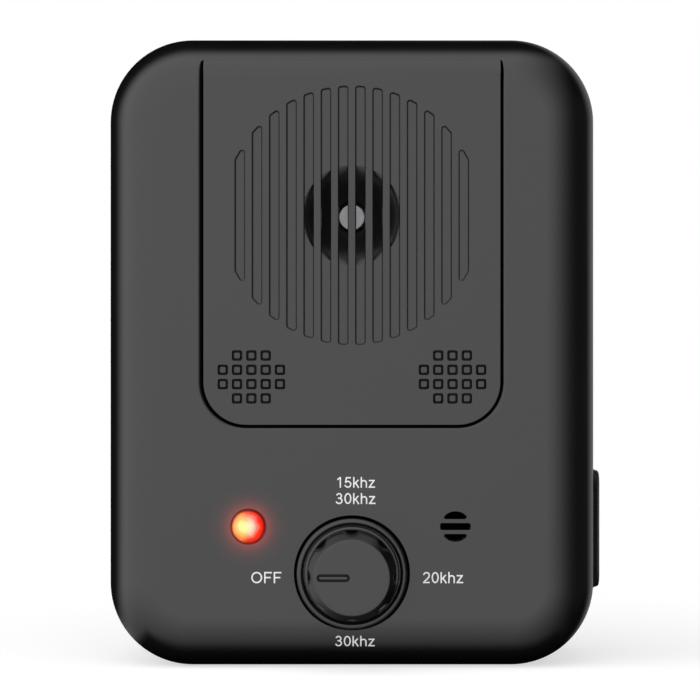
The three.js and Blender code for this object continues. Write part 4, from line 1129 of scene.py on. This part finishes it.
def knob_top():
    """The knob: a turned profile whose radius dips at each finger scallop.

    Along a direction d away from a scallop's middle, the scallop's circle of radius a, centred c from
    the axis, starts at c cos d minus the root of (a squared minus (c sin d) squared). The surface takes
    the smaller of that and the turned profile, blended over a tenth of a millimetre. The skirt's edge
    is a half circle and has no scallops.
    """
    sizes = bpy.context.scene.repeller_knob
    low, high = span("knob")
    top = float(low[1])
    foot = float(high[1])
    corners = np.array([
        [0.0, top],
        [sizes.top_radius, top],
        [sizes.rim_radius, top + sizes.chamfer],
        [sizes.rim_radius + 0.1 * MM, foot - 2.9 * MM],
    ])
    ease = 0.16 * MM
    line = [np.stack([np.linspace(0, sizes.top_radius - ease, 8), np.full(8, top)], axis=1)]
    for before, here, after in zip(corners, corners[1:], corners[2:]):
        arrive = (here - before) / np.linalg.norm(here - before)
        leave = (after - here) / np.linalg.norm(after - here)
        start = here - ease * arrive
        end = here + ease * leave
        t = np.linspace(0, 1, 7)[:, None]
        line.append((1 - t) ** 2 * start + 2 * t * (1 - t) * here + t**2 * end)
        run = np.linalg.norm(after - here) - 2 * ease
        line.append(here + leave * (ease + np.linspace(0, run, 8)[1:, None]))
    scalloped = np.concatenate(line)
    bead = sizes.skirt_bead
    flatness = 0.8
    skirt = arc(bead, (sizes.skirt_radius - bead, 0.0), 185, 360, 16) * [1, flatness]
    skirt += [0, foot - 1.1 * MM]
    hollow = 6.2 * MM
    hub = 3.5 * MM
    bore = 2.1 * MM
    hub_foot = -21.6 * MM
    inside = np.array([
        [sizes.skirt_radius, foot],
        [hollow, foot],
        [hollow, top + 2.2 * MM],
        [hub, top + 2.2 * MM],
        [hub, hub_foot],
        [bore, hub_foot],
        [bore, top + 1.9 * MM],
        [0.0, top + 1.9 * MM],
    ])
    steps = sizes.scallops * 40
    angle = np.arange(steps) * TURN / steps
    share = math.pi / sizes.scallops
    offset = (angle + share) % (2 * share) - share
    a = sizes.scallop_radius
    c = sizes.rim_radius + a - sizes.scallop_depth
    clear = 9 * MM
    across = np.abs(c * np.sin(offset))
    edge = c * np.cos(offset) - np.sqrt(np.maximum(a**2 - across**2, 0))
    notch = np.where(across < a, edge, clear)
    turned = np.repeat(scalloped[:, :1], steps, axis=1)
    k = 0.1 * MM
    blend = np.clip(0.5 + 0.5 * (notch - turned) / k, 0, 1)
    dipped = notch * (1 - blend) + turned * blend - k * blend * (1 - blend)
    outer = np.where(turned > sizes.top_radius * 0.7, dipped, turned)
    plain_rows = np.concatenate([skirt, inside])
    radius = np.concatenate([outer, np.repeat(plain_rows[:, :1], steps, axis=1)])
    depth = np.concatenate([scalloped[:, 1], plain_rows[:, 1]])
    px = radius * np.cos(angle)
    py = np.repeat(depth[:, None], steps, axis=1)
    pz = KNOB_Z + radius * np.sin(angle)
    knob = new_object("knob_cap", loft(np.stack([px, py, pz], axis=-1), caps=False))

    moat = sizes.moat
    pointer_x = -0.35 * MM - sizes.pointer_length / 2
    proud = top - 0.2 * MM
    bottom = top + 0.68 * moat

    def pill(take, y):
        """The pointer's outline, taken in all round."""
        wide = sizes.pointer_length - 2 * take
        tall = sizes.pointer_width - 2 * take
        return at_depth(rounded(wide, tall, tall * 0.4995, pointer_x, KNOB_Z, 10), y)

    groove = loft(
        [
            pill(0.0, proud),
            pill(0.0, top),
            pill(0.47 * moat, bottom),
            pill(0.53 * moat, bottom),
            pill(moat, top),
            pill(moat, proud),
        ],
        closed=True,
    )
    carve(knob, [groove])
    return finish(knob, material("knob"), "mode_knob", ["knob"], sharp=35)


def knob_ring():
    """The fixed ring round the knob: a turned profile whose top is half an ellipse, a little lower than
    half its width."""
    sizes = bpy.context.scene.repeller_knob
    foot = float(span("knob_bezel")[1][1])
    rim = FACE_Y - sizes.bezel_rise
    half = (sizes.bezel_radius - sizes.bezel_inner) / 2
    centre = sizes.bezel_inner + half
    bore = 3.2 * MM
    web = foot - 0.7 * MM
    flatness = 0.85
    profile = np.concatenate([
        [[bore, foot], [sizes.bezel_radius, foot]],
        arc(half, (0.0, 0.0), 0, -180, 28) * [1, flatness] + [centre, rim + flatness * half],
        [[sizes.bezel_inner, web], [bore, web]],
    ])
    ring = new_object("knob_ring", lathe(profile, 0.0, KNOB_Z, 160, closed=True))
    return finish(ring, material("knob"), "housing", ["knob_bezel"], sharp=28)


def pilot_dome():
    """The pilot lens: a quarter ellipse turned about its axis, with a flange behind the wall."""
    sizes = bpy.context.scene.repeller_details
    low, high = span("pilot_lens")
    r = sizes.lamp_radius
    angle = np.linspace(0, TURN / 4, 20)
    crown = np.stack([r * np.sin(angle), FACE_Y - sizes.lamp_dome * np.cos(angle)], axis=1)
    back = float(high[1])
    seat = back - 0.8 * MM
    flange = (high[0] - low[0]) / 2
    hollow = 1.8 * MM
    inside = np.array([
        [r, seat],
        [flange, seat],
        [flange, back],
        [hollow, back],
        [hollow, FACE_Y + MM],
        [0.0, FACE_Y + 0.2 * MM],
    ])
    lens = new_object("pilot_dome", lathe(np.concatenate([crown, inside]), LAMP[0], LAMP[2], 80))
    return finish(lens, material("lens"), "housing", ["pilot_lens"])


def horn_flare():
    """The horn: its wall is steep at the throat and opens out towards the mouth.

    The depth below the mouth is the flare's length times (1 - share) to the power of 1.4, share being
    how far the radius has gone from throat to mouth.
    """
    low, high = span("speaker_horn")
    front = float(low[1])
    back = float(high[1])
    throat = 2.4 * MM
    mouth = 8.45 * MM
    flare = 5.9 * MM
    share = np.linspace(0, 1, 24)
    inner = np.stack([throat + (mouth - throat) * share, front + flare * (1 - share) ** 1.4], axis=1)
    collar = 8.9 * MM
    lip = 11 * MM
    wall = 9.4 * MM
    profile = np.concatenate([
        [[throat, back]],
        inner,
        [[collar, front], [collar, front + 2.7 * MM], [lip, front + 2.7 * MM]],
        [[lip, front + 3.7 * MM], [wall, front + 3.7 * MM], [wall, back]],
    ])
    horn = new_object("horn_flare", lathe(profile, 0.0, HORN_Z, 128, closed=True))
    side = float(high[0] - low[0])
    flange_y = back - 1.6 * MM
    carve(horn, [prism(rounded(side, side, 4 * MM, 0.0, HORN_Z, 10), flange_y, back)], "UNION")
    corners = [(sx * SPEAKER_SCREW, HORN_Z + sz * SPEAKER_SCREW) for sx, sz in QUADRANTS]
    holes = bored(1.15 * MM, corners, flange_y - MM, back + MM, 24)
    holes += bored(throat, [(0.0, HORN_Z)], flange_y - 0.5 * MM, back + MM, 64)
    carve(horn, holes)
    return finish(horn, material("horn"), "housing", ["speaker_horn"])


def horn_disc():
    """The disc in the horn's throat, on its stem and cone: one turned profile with a dished face."""
    low, high = span("horn_button")
    front = float(low[1])
    back = float(high[1])
    rim = 2.2 * MM
    ease = 0.15 * MM
    stem = 1 * MM
    foot = 6.5 * MM
    profile = np.concatenate([
        [[0.0, front + 0.12 * MM], [1.5 * MM, front]],
        arc(ease, (rim - ease, front + ease), 270, 360, 5),
        [[rim, front + 0.7 * MM], [stem, front + 1.2 * MM], [stem, back - 1.7 * MM]],
        [[foot, back - 0.4 * MM], [foot, back], [0.0, back]],
    ])
    disc = new_object("horn_disc", lathe(profile, 0.0, HORN_Z, 96))
    return finish(disc, material("disc"), "housing", ["horn_button"])


# The port cover's edge, outwards: (taken in by, below the outer face), in millimetres.
COVER_EDGE = (
    (0.0, 1.95),
    (0.0, 1.2),
    (0.04, 1.12),
    (0.88, 0.52),
    (0.96, 0.3),
    (1.06, 0.24),
    (1.6, 0.03),
    (1.9, 0.0),
)


def cover_piece(name, low, high):
    """The part of the rubber port cover between two heights: a pill loop carried outwards and taken in
    by a chamfer, a small step and a second chamfer, less at its ends than at its sides."""
    sizes = bpy.context.scene.repeller_details
    outer_x = float(COVER_HIGH[0])
    foot = float(COVER_LOW[2])
    top = float(ANCHOR_HIGH[2])
    width = float(COVER_HIGH[1] - COVER_LOW[1])
    centre = (foot + top) / 2

    def loop(take, drop):
        """The cover's outline, taken in, that far below its outer face."""
        tall = top - foot - 0.7 * take
        shape = rounded(width - 2 * take, tall, sizes.cover_radius - take, PORT_Y, centre, 16)
        return on_side(shape, outer_x - drop)

    piece = new_object(name, loft([loop(take * MM, drop * MM) for take, drop in COVER_EDGE]))
    away = 30 * MM
    inner_x = outer_x - COVER_EDGE[0][1] * MM
    for z0, z1 in ((low - away, low), (high, high + away)):
        beyond = rounded(20 * MM, z1 - z0, 0.2 * MM, inner_x, (z0 + z1) / 2, 1)
        carve(piece, [prism(beyond, PORT_Y - away, PORT_Y + away)])
    return piece


def port_cover():
    """The rubber cover: a flap that swings about its top edge, and the fixed end it hangs from."""
    sizes = bpy.context.scene.repeller_details
    hinge_z = float(COVER_HIGH[2])
    far = 1.0
    flap = cover_piece("port_flap_cover", -far, hinge_z)
    plug = rounded(6.2 * MM, 12.2 * MM, 3.0 * MM, PORT_Y, SOCKET_Z, 14)
    inner = float(COVER_LOW[0])
    carve(flap, [loft([on_side(plug, inner), on_side(plug, inner + 0.8 * MM)])], "UNION")
    finish(flap, material("rubber"), "port_flap", ["port_cover"])
    tether = cover_piece("port_cover_tether", hinge_z + sizes.hinge_gap, far)
    finish(tether, material("rubber"), "housing", ["port_cover_anchor"])


def case_screws():
    """Four pan-head screws with a cross recess, in the rear shell's wells: a turned profile whose edge
    is a quarter circle, less two crossed wedges."""
    r = bpy.context.scene.repeller_details.screw_head
    shank = 1.45 * MM
    ease = 1.1 * MM
    arm = r * 0.6
    half = 0.38 * MM
    narrowed = 0.55
    for index, node in enumerate(CASE_SCREWS, start=1):
        low, high = span(node)
        x, z = seen_from_front([node])[0]
        tip = float(low[1])
        seat = float(high[1]) - 2.2 * MM
        profile = np.concatenate([
            [[0.0, tip], [0.9 * MM, tip], [shank, tip + 2 * MM], [shank, seat]],
            [[r - 0.1 * MM, seat], [r, seat + 0.2 * MM], [r, seat + ease]],
            arc(ease, (r - ease, seat + ease), 0, 90, 8)[1:],
            [[0.0, seat + 2 * ease]],
        ])
        screw = new_object(f"case_screw_head_{index}", lathe(profile, x, z, 64))
        for a, b in ((arm, half), (half, arm)):
            deep = rounded(2 * a * narrowed, 2 * b * narrowed, 0.1 * MM, x, z, 2)
            wide = rounded(2 * a, 2 * b, 0.12 * MM, x, z, 2)
            wedge = loft([at_depth(deep, seat + 0.9 * MM), at_depth(wide, seat + 2.6 * MM)])
            carve(screw, [wedge])
        finish(screw, material("steel"), "housing", [node])


def bow(x, z, rx, rz, start, end, steps=18):
    """Points on an upright ellipse between two angles in degrees."""
    angle = np.radians(np.linspace(start, end, steps + 1))
    return np.stack([x + rx * np.cos(angle), z + rz * np.sin(angle)], axis=1).tolist()


# Each character is its width and its strokes' centre lines, with the capitals' height as 1.
GLYPHS = {
    "0": (0.777, [bow(0.39, 0.5, 0.26, 0.44, 0, 360, 40)]),
    "1": (0.777, [
        [[0.45, 0.0], [0.45, 1.0]],
        [[0.16, 0.76], [0.3, 0.83], [0.4, 0.92], [0.445, 0.985]],
    ]),
    "2": (0.777, [
        bow(0.385, 0.69, 0.25, 0.255, 172, -28) + [[0.5, 0.42], [0.27, 0.22], [0.16, 0.06]],
        [[0.075, 0.06], [0.665, 0.06]],
    ]),
    "3": (0.777, [
        bow(0.365, 0.735, 0.215, 0.21, 165, -75),
        bow(0.365, 0.295, 0.262, 0.24, 92, -168),
        [[0.27, 0.53], [0.4, 0.53]],
    ]),
    "5": (0.777, [
        [[0.65, 0.935], [0.215, 0.935]],
        [[0.245, 0.97], [0.155, 0.46]],
        bow(0.37, 0.325, 0.27, 0.27, 148, -166, 26),
    ]),
    "k": (0.698, [
        [[0.15, 0.0], [0.15, 1.0]],
        [[0.575, 0.74], [0.18, 0.33]],
        [[0.3, 0.46], [0.615, -0.01]],
    ]),
    "h": (0.777, [[[0.15, 0.0], [0.15, 1.0]], bow(0.385, 0.45, 0.235, 0.215, 180, 0) + [[0.62, 0.0]]]),
    "z": (0.698, [
        [[0.07, 0.67], [0.62, 0.67]],
        [[0.565, 0.69], [0.115, 0.04]],
        [[0.055, 0.058], [0.65, 0.058]],
    ]),
    "O": (1.087, [bow(0.545, 0.5, 0.42, 0.445, 0, 360, 44)]),
    "F": (0.853, [[[0.18, 0.0], [0.18, 1.0]], [[0.18, 0.94], [0.8, 0.94]], [[0.18, 0.5], [0.7, 0.5]]]),
}


STROKE_WIDTH = 0.122
STROKE_STEP = 0.06  # longest piece of a straight stroke, so that it can follow the face
END_SPACE = 0.13  # blank space in a word's first and last letters together


def stroke(line, width, lift, place):
    """A printed stroke: a flat band along a centre line, each point moved sideways by half the width
    along the mean of its two neighbours' normals, and given a thickness.

    place(points, lift) sets the flat points on the housing.
    """
    points = np.array(line)
    closed = np.allclose(points[0], points[-1])
    if closed:
        points = points[:-1]
        ahead = np.roll(points, -1, axis=0)
        behind = np.roll(points, 1, axis=0)
    else:
        if len(points) == 2:
            steps = max(2, int(np.linalg.norm(points[-1] - points[0]) / STROKE_STEP))
            points = points[0] + (points[1] - points[0]) * np.linspace(0, 1, steps + 1)[:, None]
        ahead = np.concatenate([points[1:], 2 * points[-1:] - points[-2:-1]])
        behind = np.concatenate([2 * points[:1] - points[1:2], points[:-1]])
    first = points - behind
    second = ahead - points
    first /= np.linalg.norm(first, axis=1, keepdims=True)
    second /= np.linalg.norm(second, axis=1, keepdims=True)
    mean = first + second
    mean /= np.linalg.norm(mean, axis=1, keepdims=True)
    stretch = 1 / np.maximum((mean * first).sum(axis=1, keepdims=True), 0.5)
    normal = np.stack([-mean[:, 1], mean[:, 0]], axis=1) * width / 2 * stretch
    left = points + normal
    right = points - normal
    under = lift - 0.02 * MM
    edges = ((left, lift), (right, lift), (right, under), (left, under))
    return loft(np.stack([place(side, height) for side, height in edges], axis=1), closed=closed)


def legend(name, text, x, z, width):
    """One printed marking: flat bands laid on the face, which follow its rounding near the foot.

    Under the edge radius R the face lies R minus the root of (R squared minus (R - z) squared) back.
    Strokes that cross lie at slightly different heights.
    """
    radius = bpy.context.scene.repeller_housing.front_radius
    total = sum(GLYPHS[letter][0] for letter in text)
    cap = width / (total - END_SPACE)
    parts = []
    start = -total / 2

    def place(flat, lift):
        """Flat points, in capitals' heights, set that far above the face."""
        px = x + flat[:, 0] * cap
        pz = z + (flat[:, 1] - 0.5) * cap
        back = radius - np.sqrt(radius**2 - np.maximum(radius - pz, 0) ** 2)
        return np.stack([px, FACE_Y + back - lift, pz], axis=1)

    for letter in text:
        advance, lines = GLYPHS[letter]
        for index, line in enumerate(lines):
            lift = (0.012 + 0.003 * index) * MM
            parts.append(stroke(np.array(line) + [start, 0.0], STROKE_WIDTH, lift, place))
        start += advance
    made = new_object(name, combined(parts))
    return finish(made, material("ink"), "housing", weighted=False)


# Each marking's name and text, its middle along X and Z and its width, in millimetres.
LEGENDS = (
    ("legend_top_upper", "15khz", 0.6, 31.3, 6.45),
    ("legend_top_lower", "30khz", 0.6, 28.6, 6.6),
    ("legend_left", "OFF", -14.3, 15.4, 5.0),
    ("legend_right", "20khz", 15.2, 15.4, 6.7),
    ("legend_bottom", "30khz", 0.5, 4.7, 6.6),
)


# ---------------------------------------------------------------- stage


WHITE = (1.0, 1.0, 1.0, 1.0)
FAR = 9.0  # beyond any part of a unit vector, for a limit that never holds
KEY_OVAL = (0.82, 0.755)  # how far the key reaches to the left and up, as a bent middle's X and Z
BACK_TURN = 150  # degrees from straight ahead round to the back light, by the right
BACK_RISE = 8  # degrees that the back light stands above the floor


def light_dome(sizes):
    """A soft studio dome. The key is one very large softbox: it reaches a little behind the object on
    the left and above, and fades slowly to the right and below. A dim light from behind on the right
    draws the far edges, and the camera sees a white backdrop.

    A direction's bent middle is the unit vector halfway between it and straight ahead (-Y): its X and Z
    are what a surface must turn by to mirror that direction forwards. The key's edges are set on them.
    """
    world = bpy.data.worlds.new("studio")
    bpy.context.scene.world = world
    world.use_nodes = True
    tree = world.node_tree
    tree.nodes.clear()
    towards = add_node(tree, "ShaderNodeTexCoord").outputs["Generated"]
    ahead = (0.0, -1.0, 0.0)
    bent = add_node(tree, "ShaderNodeVectorMath", {0: towards, 1: ahead}, operation="ADD").outputs[0]
    middle_way = add_node(tree, "ShaderNodeVectorMath", {0: bent}, operation="NORMALIZE").outputs[0]
    turned = add_node(tree, "ShaderNodeSeparateXYZ", {"Vector": middle_way}).outputs

    def edge(value, none, full, strength=1.0):
        """A soft edge: nothing at one value, the full strength at the other."""
        return add_node(
            tree,
            "ShaderNodeMapRange",
            {"Value": value, "From Min": none, "From Max": full, "To Min": 0.0, "To Max": strength},
            interpolation_type="SMOOTHSTEP",
        ).outputs[0]

    # Only what lies to the left and above counts towards the key's oval outer edge.
    most = (0.0, 0.0, FAR)
    least = (-FAR, 0.0, 0.0)
    share = (1 / KEY_OVAL[0], 0.0, 1 / KEY_OVAL[1])
    kept = add_node(tree, "ShaderNodeVectorMath", {0: middle_way, 1: most}, operation="MINIMUM")
    corner = add_node(tree, "ShaderNodeVectorMath", {0: kept.outputs[0], 1: least}, operation="MAXIMUM")
    oval = add_node(tree, "ShaderNodeVectorMath", {0: corner.outputs[0], 1: share}, operation="MULTIPLY")
    reach = add_node(tree, "ShaderNodeVectorMath", {0: oval.outputs[0]}, operation="LENGTH")
    key = edge(reach.outputs["Value"], 1.07, 0.81, sizes.key)
    for value, none, full in ((turned["X"], 0.66, -0.05), (turned["Z"], -0.91, 0.12)):
        within = edge(value, none, full)
        key = add_node(tree, "ShaderNodeMath", {0: key, 1: within}, operation="MULTIPLY").outputs[0]

    turn = math.radians(BACK_TURN)
    rise = math.radians(BACK_RISE)
    behind = (math.sin(turn) * math.cos(rise), -math.cos(turn) * math.cos(rise), math.sin(rise))
    facing = add_node(tree, "ShaderNodeVectorMath", {0: towards, 1: behind}, operation="DOT_PRODUCT")
    back = edge(facing.outputs["Value"], 0.8, 0.985, sizes.back)
    rightwards = add_node(tree, "ShaderNodeSeparateXYZ", {"Vector": towards}).outputs["X"]
    strength = edge(rightwards, 0.84, 0.98, sizes.side)
    for light in (back, sizes.fill, key):
        strength = add_node(tree, "ShaderNodeMath", {0: light, 1: strength}, operation="ADD").outputs[0]
    lit = add_node(tree, "ShaderNodeBackground", {"Color": WHITE, "Strength": strength})
    drop = add_node(tree, "ShaderNodeBackground", {"Color": WHITE, "Strength": 1.0})
    seen = add_node(tree, "ShaderNodeLightPath").outputs["Is Camera Ray"]
    shader = add_node(tree, "ShaderNodeMixShader", {0: seen, 1: lit.outputs[0], 2: drop.outputs[0]})
    output = add_node(tree, "ShaderNodeOutputWorld")
    tree.links.new(shader.outputs[0], output.inputs["Surface"])


def floor_material():
    """A pale studio floor that fades to white away from the object. Light passes up through it, as it does
    through a lit shooting table, so that the object's lower edges are lit too, except under the object
    itself. There, rays that are not the camera's meet a near-black patch of painted shade that stands in
    for the contact shadow under the object."""
    made = bpy.data.materials.new("Studio floor pale")
    made.use_nodes = True
    tree = made.node_tree
    tree.nodes.clear()
    place = add_node(tree, "ShaderNodeTexCoord").outputs["Object"]
    away = add_node(tree, "ShaderNodeVectorMath", {0: place}, operation="LENGTH").outputs["Value"]

    def fade(value, none, full):
        """A soft step from nothing to all."""
        return add_node(
            tree,
            "ShaderNodeMapRange",
            {"Value": value, "From Min": none, "From Max": full, "To Min": 0.0, "To Max": 1.0},
            interpolation_type="SMOOTHSTEP",
        ).outputs[0]

    whitened = fade(away, 120 * MM, 500 * MM)
    pale = add_node(tree, "ShaderNodeBsdfDiffuse", {"Color": (0.5, 0.5, 0.5, 1.0)})
    lift = add_node(tree, "ShaderNodeEmission", {"Color": WHITE, "Strength": 0.63})
    near = add_node(tree, "ShaderNodeAddShader", {0: pale.outputs[0], 1: lift.outputs[0]})
    far = add_node(tree, "ShaderNodeEmission", {"Color": WHITE, "Strength": 1.0})
    shown = add_node(tree, "ShaderNodeMixShader", {0: whitened, 1: near.outputs[0], 2: far.outputs[0]})

    clear = add_node(tree, "ShaderNodeBsdfTransparent")
    # Painted shade: a near-black patch under the object, seen only by rays that are not the camera's,
    # stands in for the floor's contact shadow and darkens the object's lowest edges.
    dark = add_node(tree, "ShaderNodeBsdfDiffuse", {"Color": (0.01, 0.01, 0.01, 1.0)})
    size = add_node(tree, "ShaderNodeVectorMath", {0: place}, operation="ABSOLUTE").outputs[0]
    footprint = (WIDTH / 2, BACK_Y, 0.0)
    out = add_node(tree, "ShaderNodeVectorMath", {0: size, 1: footprint}, operation="SUBTRACT")
    sides = add_node(tree, "ShaderNodeSeparateXYZ", {"Vector": out.outputs[0]}).outputs
    beyond = add_node(tree, "ShaderNodeMath", {0: sides["X"], 1: sides["Y"]}, operation="MAXIMUM")
    opened = fade(beyond.outputs[0], -3 * MM, 1.5 * MM)
    under = add_node(tree, "ShaderNodeMixShader", {0: opened, 1: dark.outputs[0], 2: clear.outputs[0]})
    seen = add_node(tree, "ShaderNodeLightPath").outputs["Is Camera Ray"]
    both = add_node(tree, "ShaderNodeMixShader", {0: seen, 1: under.outputs[0], 2: shown.outputs[0]})
    output = add_node(tree, "ShaderNodeOutputMaterial")
    tree.links.new(both.outputs[0], output.inputs["Surface"])
    return made


def build_stage():
    """The floor, the light dome and the camera. The floor is a disc of two rings round a small hole."""
    sizes = bpy.context.scene.repeller_stage
    scene = bpy.context.scene
    floor_z = -0.02 * MM
    steps = 96
    rings = [
        np.column_stack([circle(radius, 0.0, 0.0, steps), np.full(steps, floor_z)])
        for radius in (0.001, 0.3, 6.0)
    ]
    floor = new_object("floor", loft(rings, caps=False))
    floor.data.materials.append(floor_material())
    light_dome(sizes)
    camera = bpy.data.cameras.new("camera")
    camera.lens = sizes.lens
    camera.sensor_width = 36.0
    camera.clip_start = 10 * MM
    camera.shift_x = -0.0008
    made = bpy.data.objects.new("camera", camera)
    scene.collection.objects.link(made)
    made.location = (sizes.aside, -sizes.distance, sizes.eye)
    made.rotation_euler = (math.pi / 2, 0.0, 0.0)
    scene.camera = made
    scene.view_settings.view_transform = "Standard"


def inner_parts():
    """Gives every CAD node that stays in view its finish, by its material slot in the record."""
    for part in frame["record"]["subparts"]:
        node = frame["nodes"][part["node"]]
        if node.hide_render:
            continue
        key = "capsule" if part["node"] == "mic_capsule" else part["material_slot"]
        for index in range(len(node.data.materials)):
            node.data.materials[index] = material(key)
        if not node.data.materials:
            node.data.materials.append(material(key))


# ---------------------------------------------------------------- operators and panel


class REPELLER_OT_stage(bpy.types.Operator):
    """Make the floor, the soft light and the camera"""

    bl_idname = "repeller.stage"
    bl_label = "Stage"

    def execute(self, context):
        build_stage()
        return {"FINISHED"}


class REPELLER_OT_front_shell(bpy.types.Operator):
    """Make the front shell with its pocket, recesses and holes"""

    bl_idname = "repeller.front_shell"
    bl_label = "Front shell"

    def execute(self, context):
        front_shell()
        return {"FINISHED"}


class REPELLER_OT_rear_shell(bpy.types.Operator):
    """Make the rear shell with its screw wells and hanging slot"""

    bl_idname = "repeller.rear_shell"
    bl_label = "Rear shell"

    def execute(self, context):
        rear_shell()
        return {"FINISHED"}


class REPELLER_OT_grille(bpy.types.Operator):
    """Make the slotted sound grille"""

    bl_idname = "repeller.grille"
    bl_label = "Sound grille"

    def execute(self, context):
        grille_plate()
        return {"FINISHED"}


class REPELLER_OT_horn(bpy.types.Operator):
    """Make the horn and the disc in its throat"""

    bl_idname = "repeller.horn"
    bl_label = "Horn"

    def execute(self, context):
        horn_flare()
        horn_disc()
        return {"FINISHED"}


class REPELLER_OT_knob(bpy.types.Operator):
    """Make the mode knob"""

    bl_idname = "repeller.knob"
    bl_label = "Mode knob"

    def execute(self, context):
        knob_top()
        return {"FINISHED"}


class REPELLER_OT_knob_ring(bpy.types.Operator):
    """Make the fixed ring round the knob"""

    bl_idname = "repeller.knob_ring"
    bl_label = "Knob ring"

    def execute(self, context):
        knob_ring()
        return {"FINISHED"}


class REPELLER_OT_pilot_lens(bpy.types.Operator):
    """Make the lit pilot lens"""

    bl_idname = "repeller.pilot_lens"
    bl_label = "Pilot lens"

    def execute(self, context):
        pilot_dome()
        return {"FINISHED"}


class REPELLER_OT_port_cover(bpy.types.Operator):
    """Make the rubber cover of the charging port"""

    bl_idname = "repeller.port_cover"
    bl_label = "Port cover"

    def execute(self, context):
        port_cover()
        return {"FINISHED"}


class REPELLER_OT_case_screws(bpy.types.Operator):
    """Make the four case screws"""

    bl_idname = "repeller.case_screws"
    bl_label = "Case screws"

    def execute(self, context):
        case_screws()
        return {"FINISHED"}


class REPELLER_OT_legends(bpy.types.Operator):
    """Print the dial markings round the knob"""

    bl_idname = "repeller.legends"
    bl_label = "Dial markings"

    def execute(self, context):
        for name, text, x, z, width in LEGENDS:
            legend(name, text, x * MM, z * MM, width * MM)
        return {"FINISHED"}


class REPELLER_OT_inner_parts(bpy.types.Operator):
    """Give the parts inside their finishes"""

    bl_idname = "repeller.inner_parts"
    bl_label = "Inner parts"

    def execute(self, context):
        inner_parts()
        return {"FINISHED"}


OPERATORS = (
    REPELLER_OT_stage,
    REPELLER_OT_front_shell,
    REPELLER_OT_rear_shell,
    REPELLER_OT_grille,
    REPELLER_OT_horn,
    REPELLER_OT_knob,
    REPELLER_OT_knob_ring,
    REPELLER_OT_pilot_lens,
    REPELLER_OT_port_cover,
    REPELLER_OT_case_screws,
    REPELLER_OT_legends,
    REPELLER_OT_inner_parts,
)


class REPELLER_PT_pieces(bpy.types.Panel):
    """The repeller's pieces and their sizes"""

    bl_label = "Ultrasonic repeller"
    bl_idname = "REPELLER_PT_pieces"
    bl_space_type = "VIEW_3D"
    bl_region_type = "UI"
    bl_category = "Repeller"

    def draw(self, context):
        layout = self.layout
        for operator in OPERATORS:
            layout.operator(operator.bl_idname)
        for name in GROUPS:
            box = layout.box()
            group = getattr(context.scene, name)
            for key in group.__annotations__:
                box.prop(group, key)


CLASSES = (*GROUPS.values(), *OPERATORS, REPELLER_PT_pieces)


def register():
    """Registers the classes and hangs each size group on the scene."""
    for item in CLASSES:
        bpy.utils.register_class(item)
    for name, group in GROUPS.items():
        setattr(bpy.types.Scene, name, PointerProperty(type=group))


def unregister():
    """Takes away what register added."""
    for name in GROUPS:
        delattr(bpy.types.Scene, name)
    for item in reversed(CLASSES):
        bpy.utils.unregister_class(item)


def main():
    """Builds every piece in turn."""
    register()
    for operator in OPERATORS:
        category, name = operator.bl_idname.split(".")
        getattr(getattr(bpy.ops, category), name)()


if __name__ == "__main__":
    main()
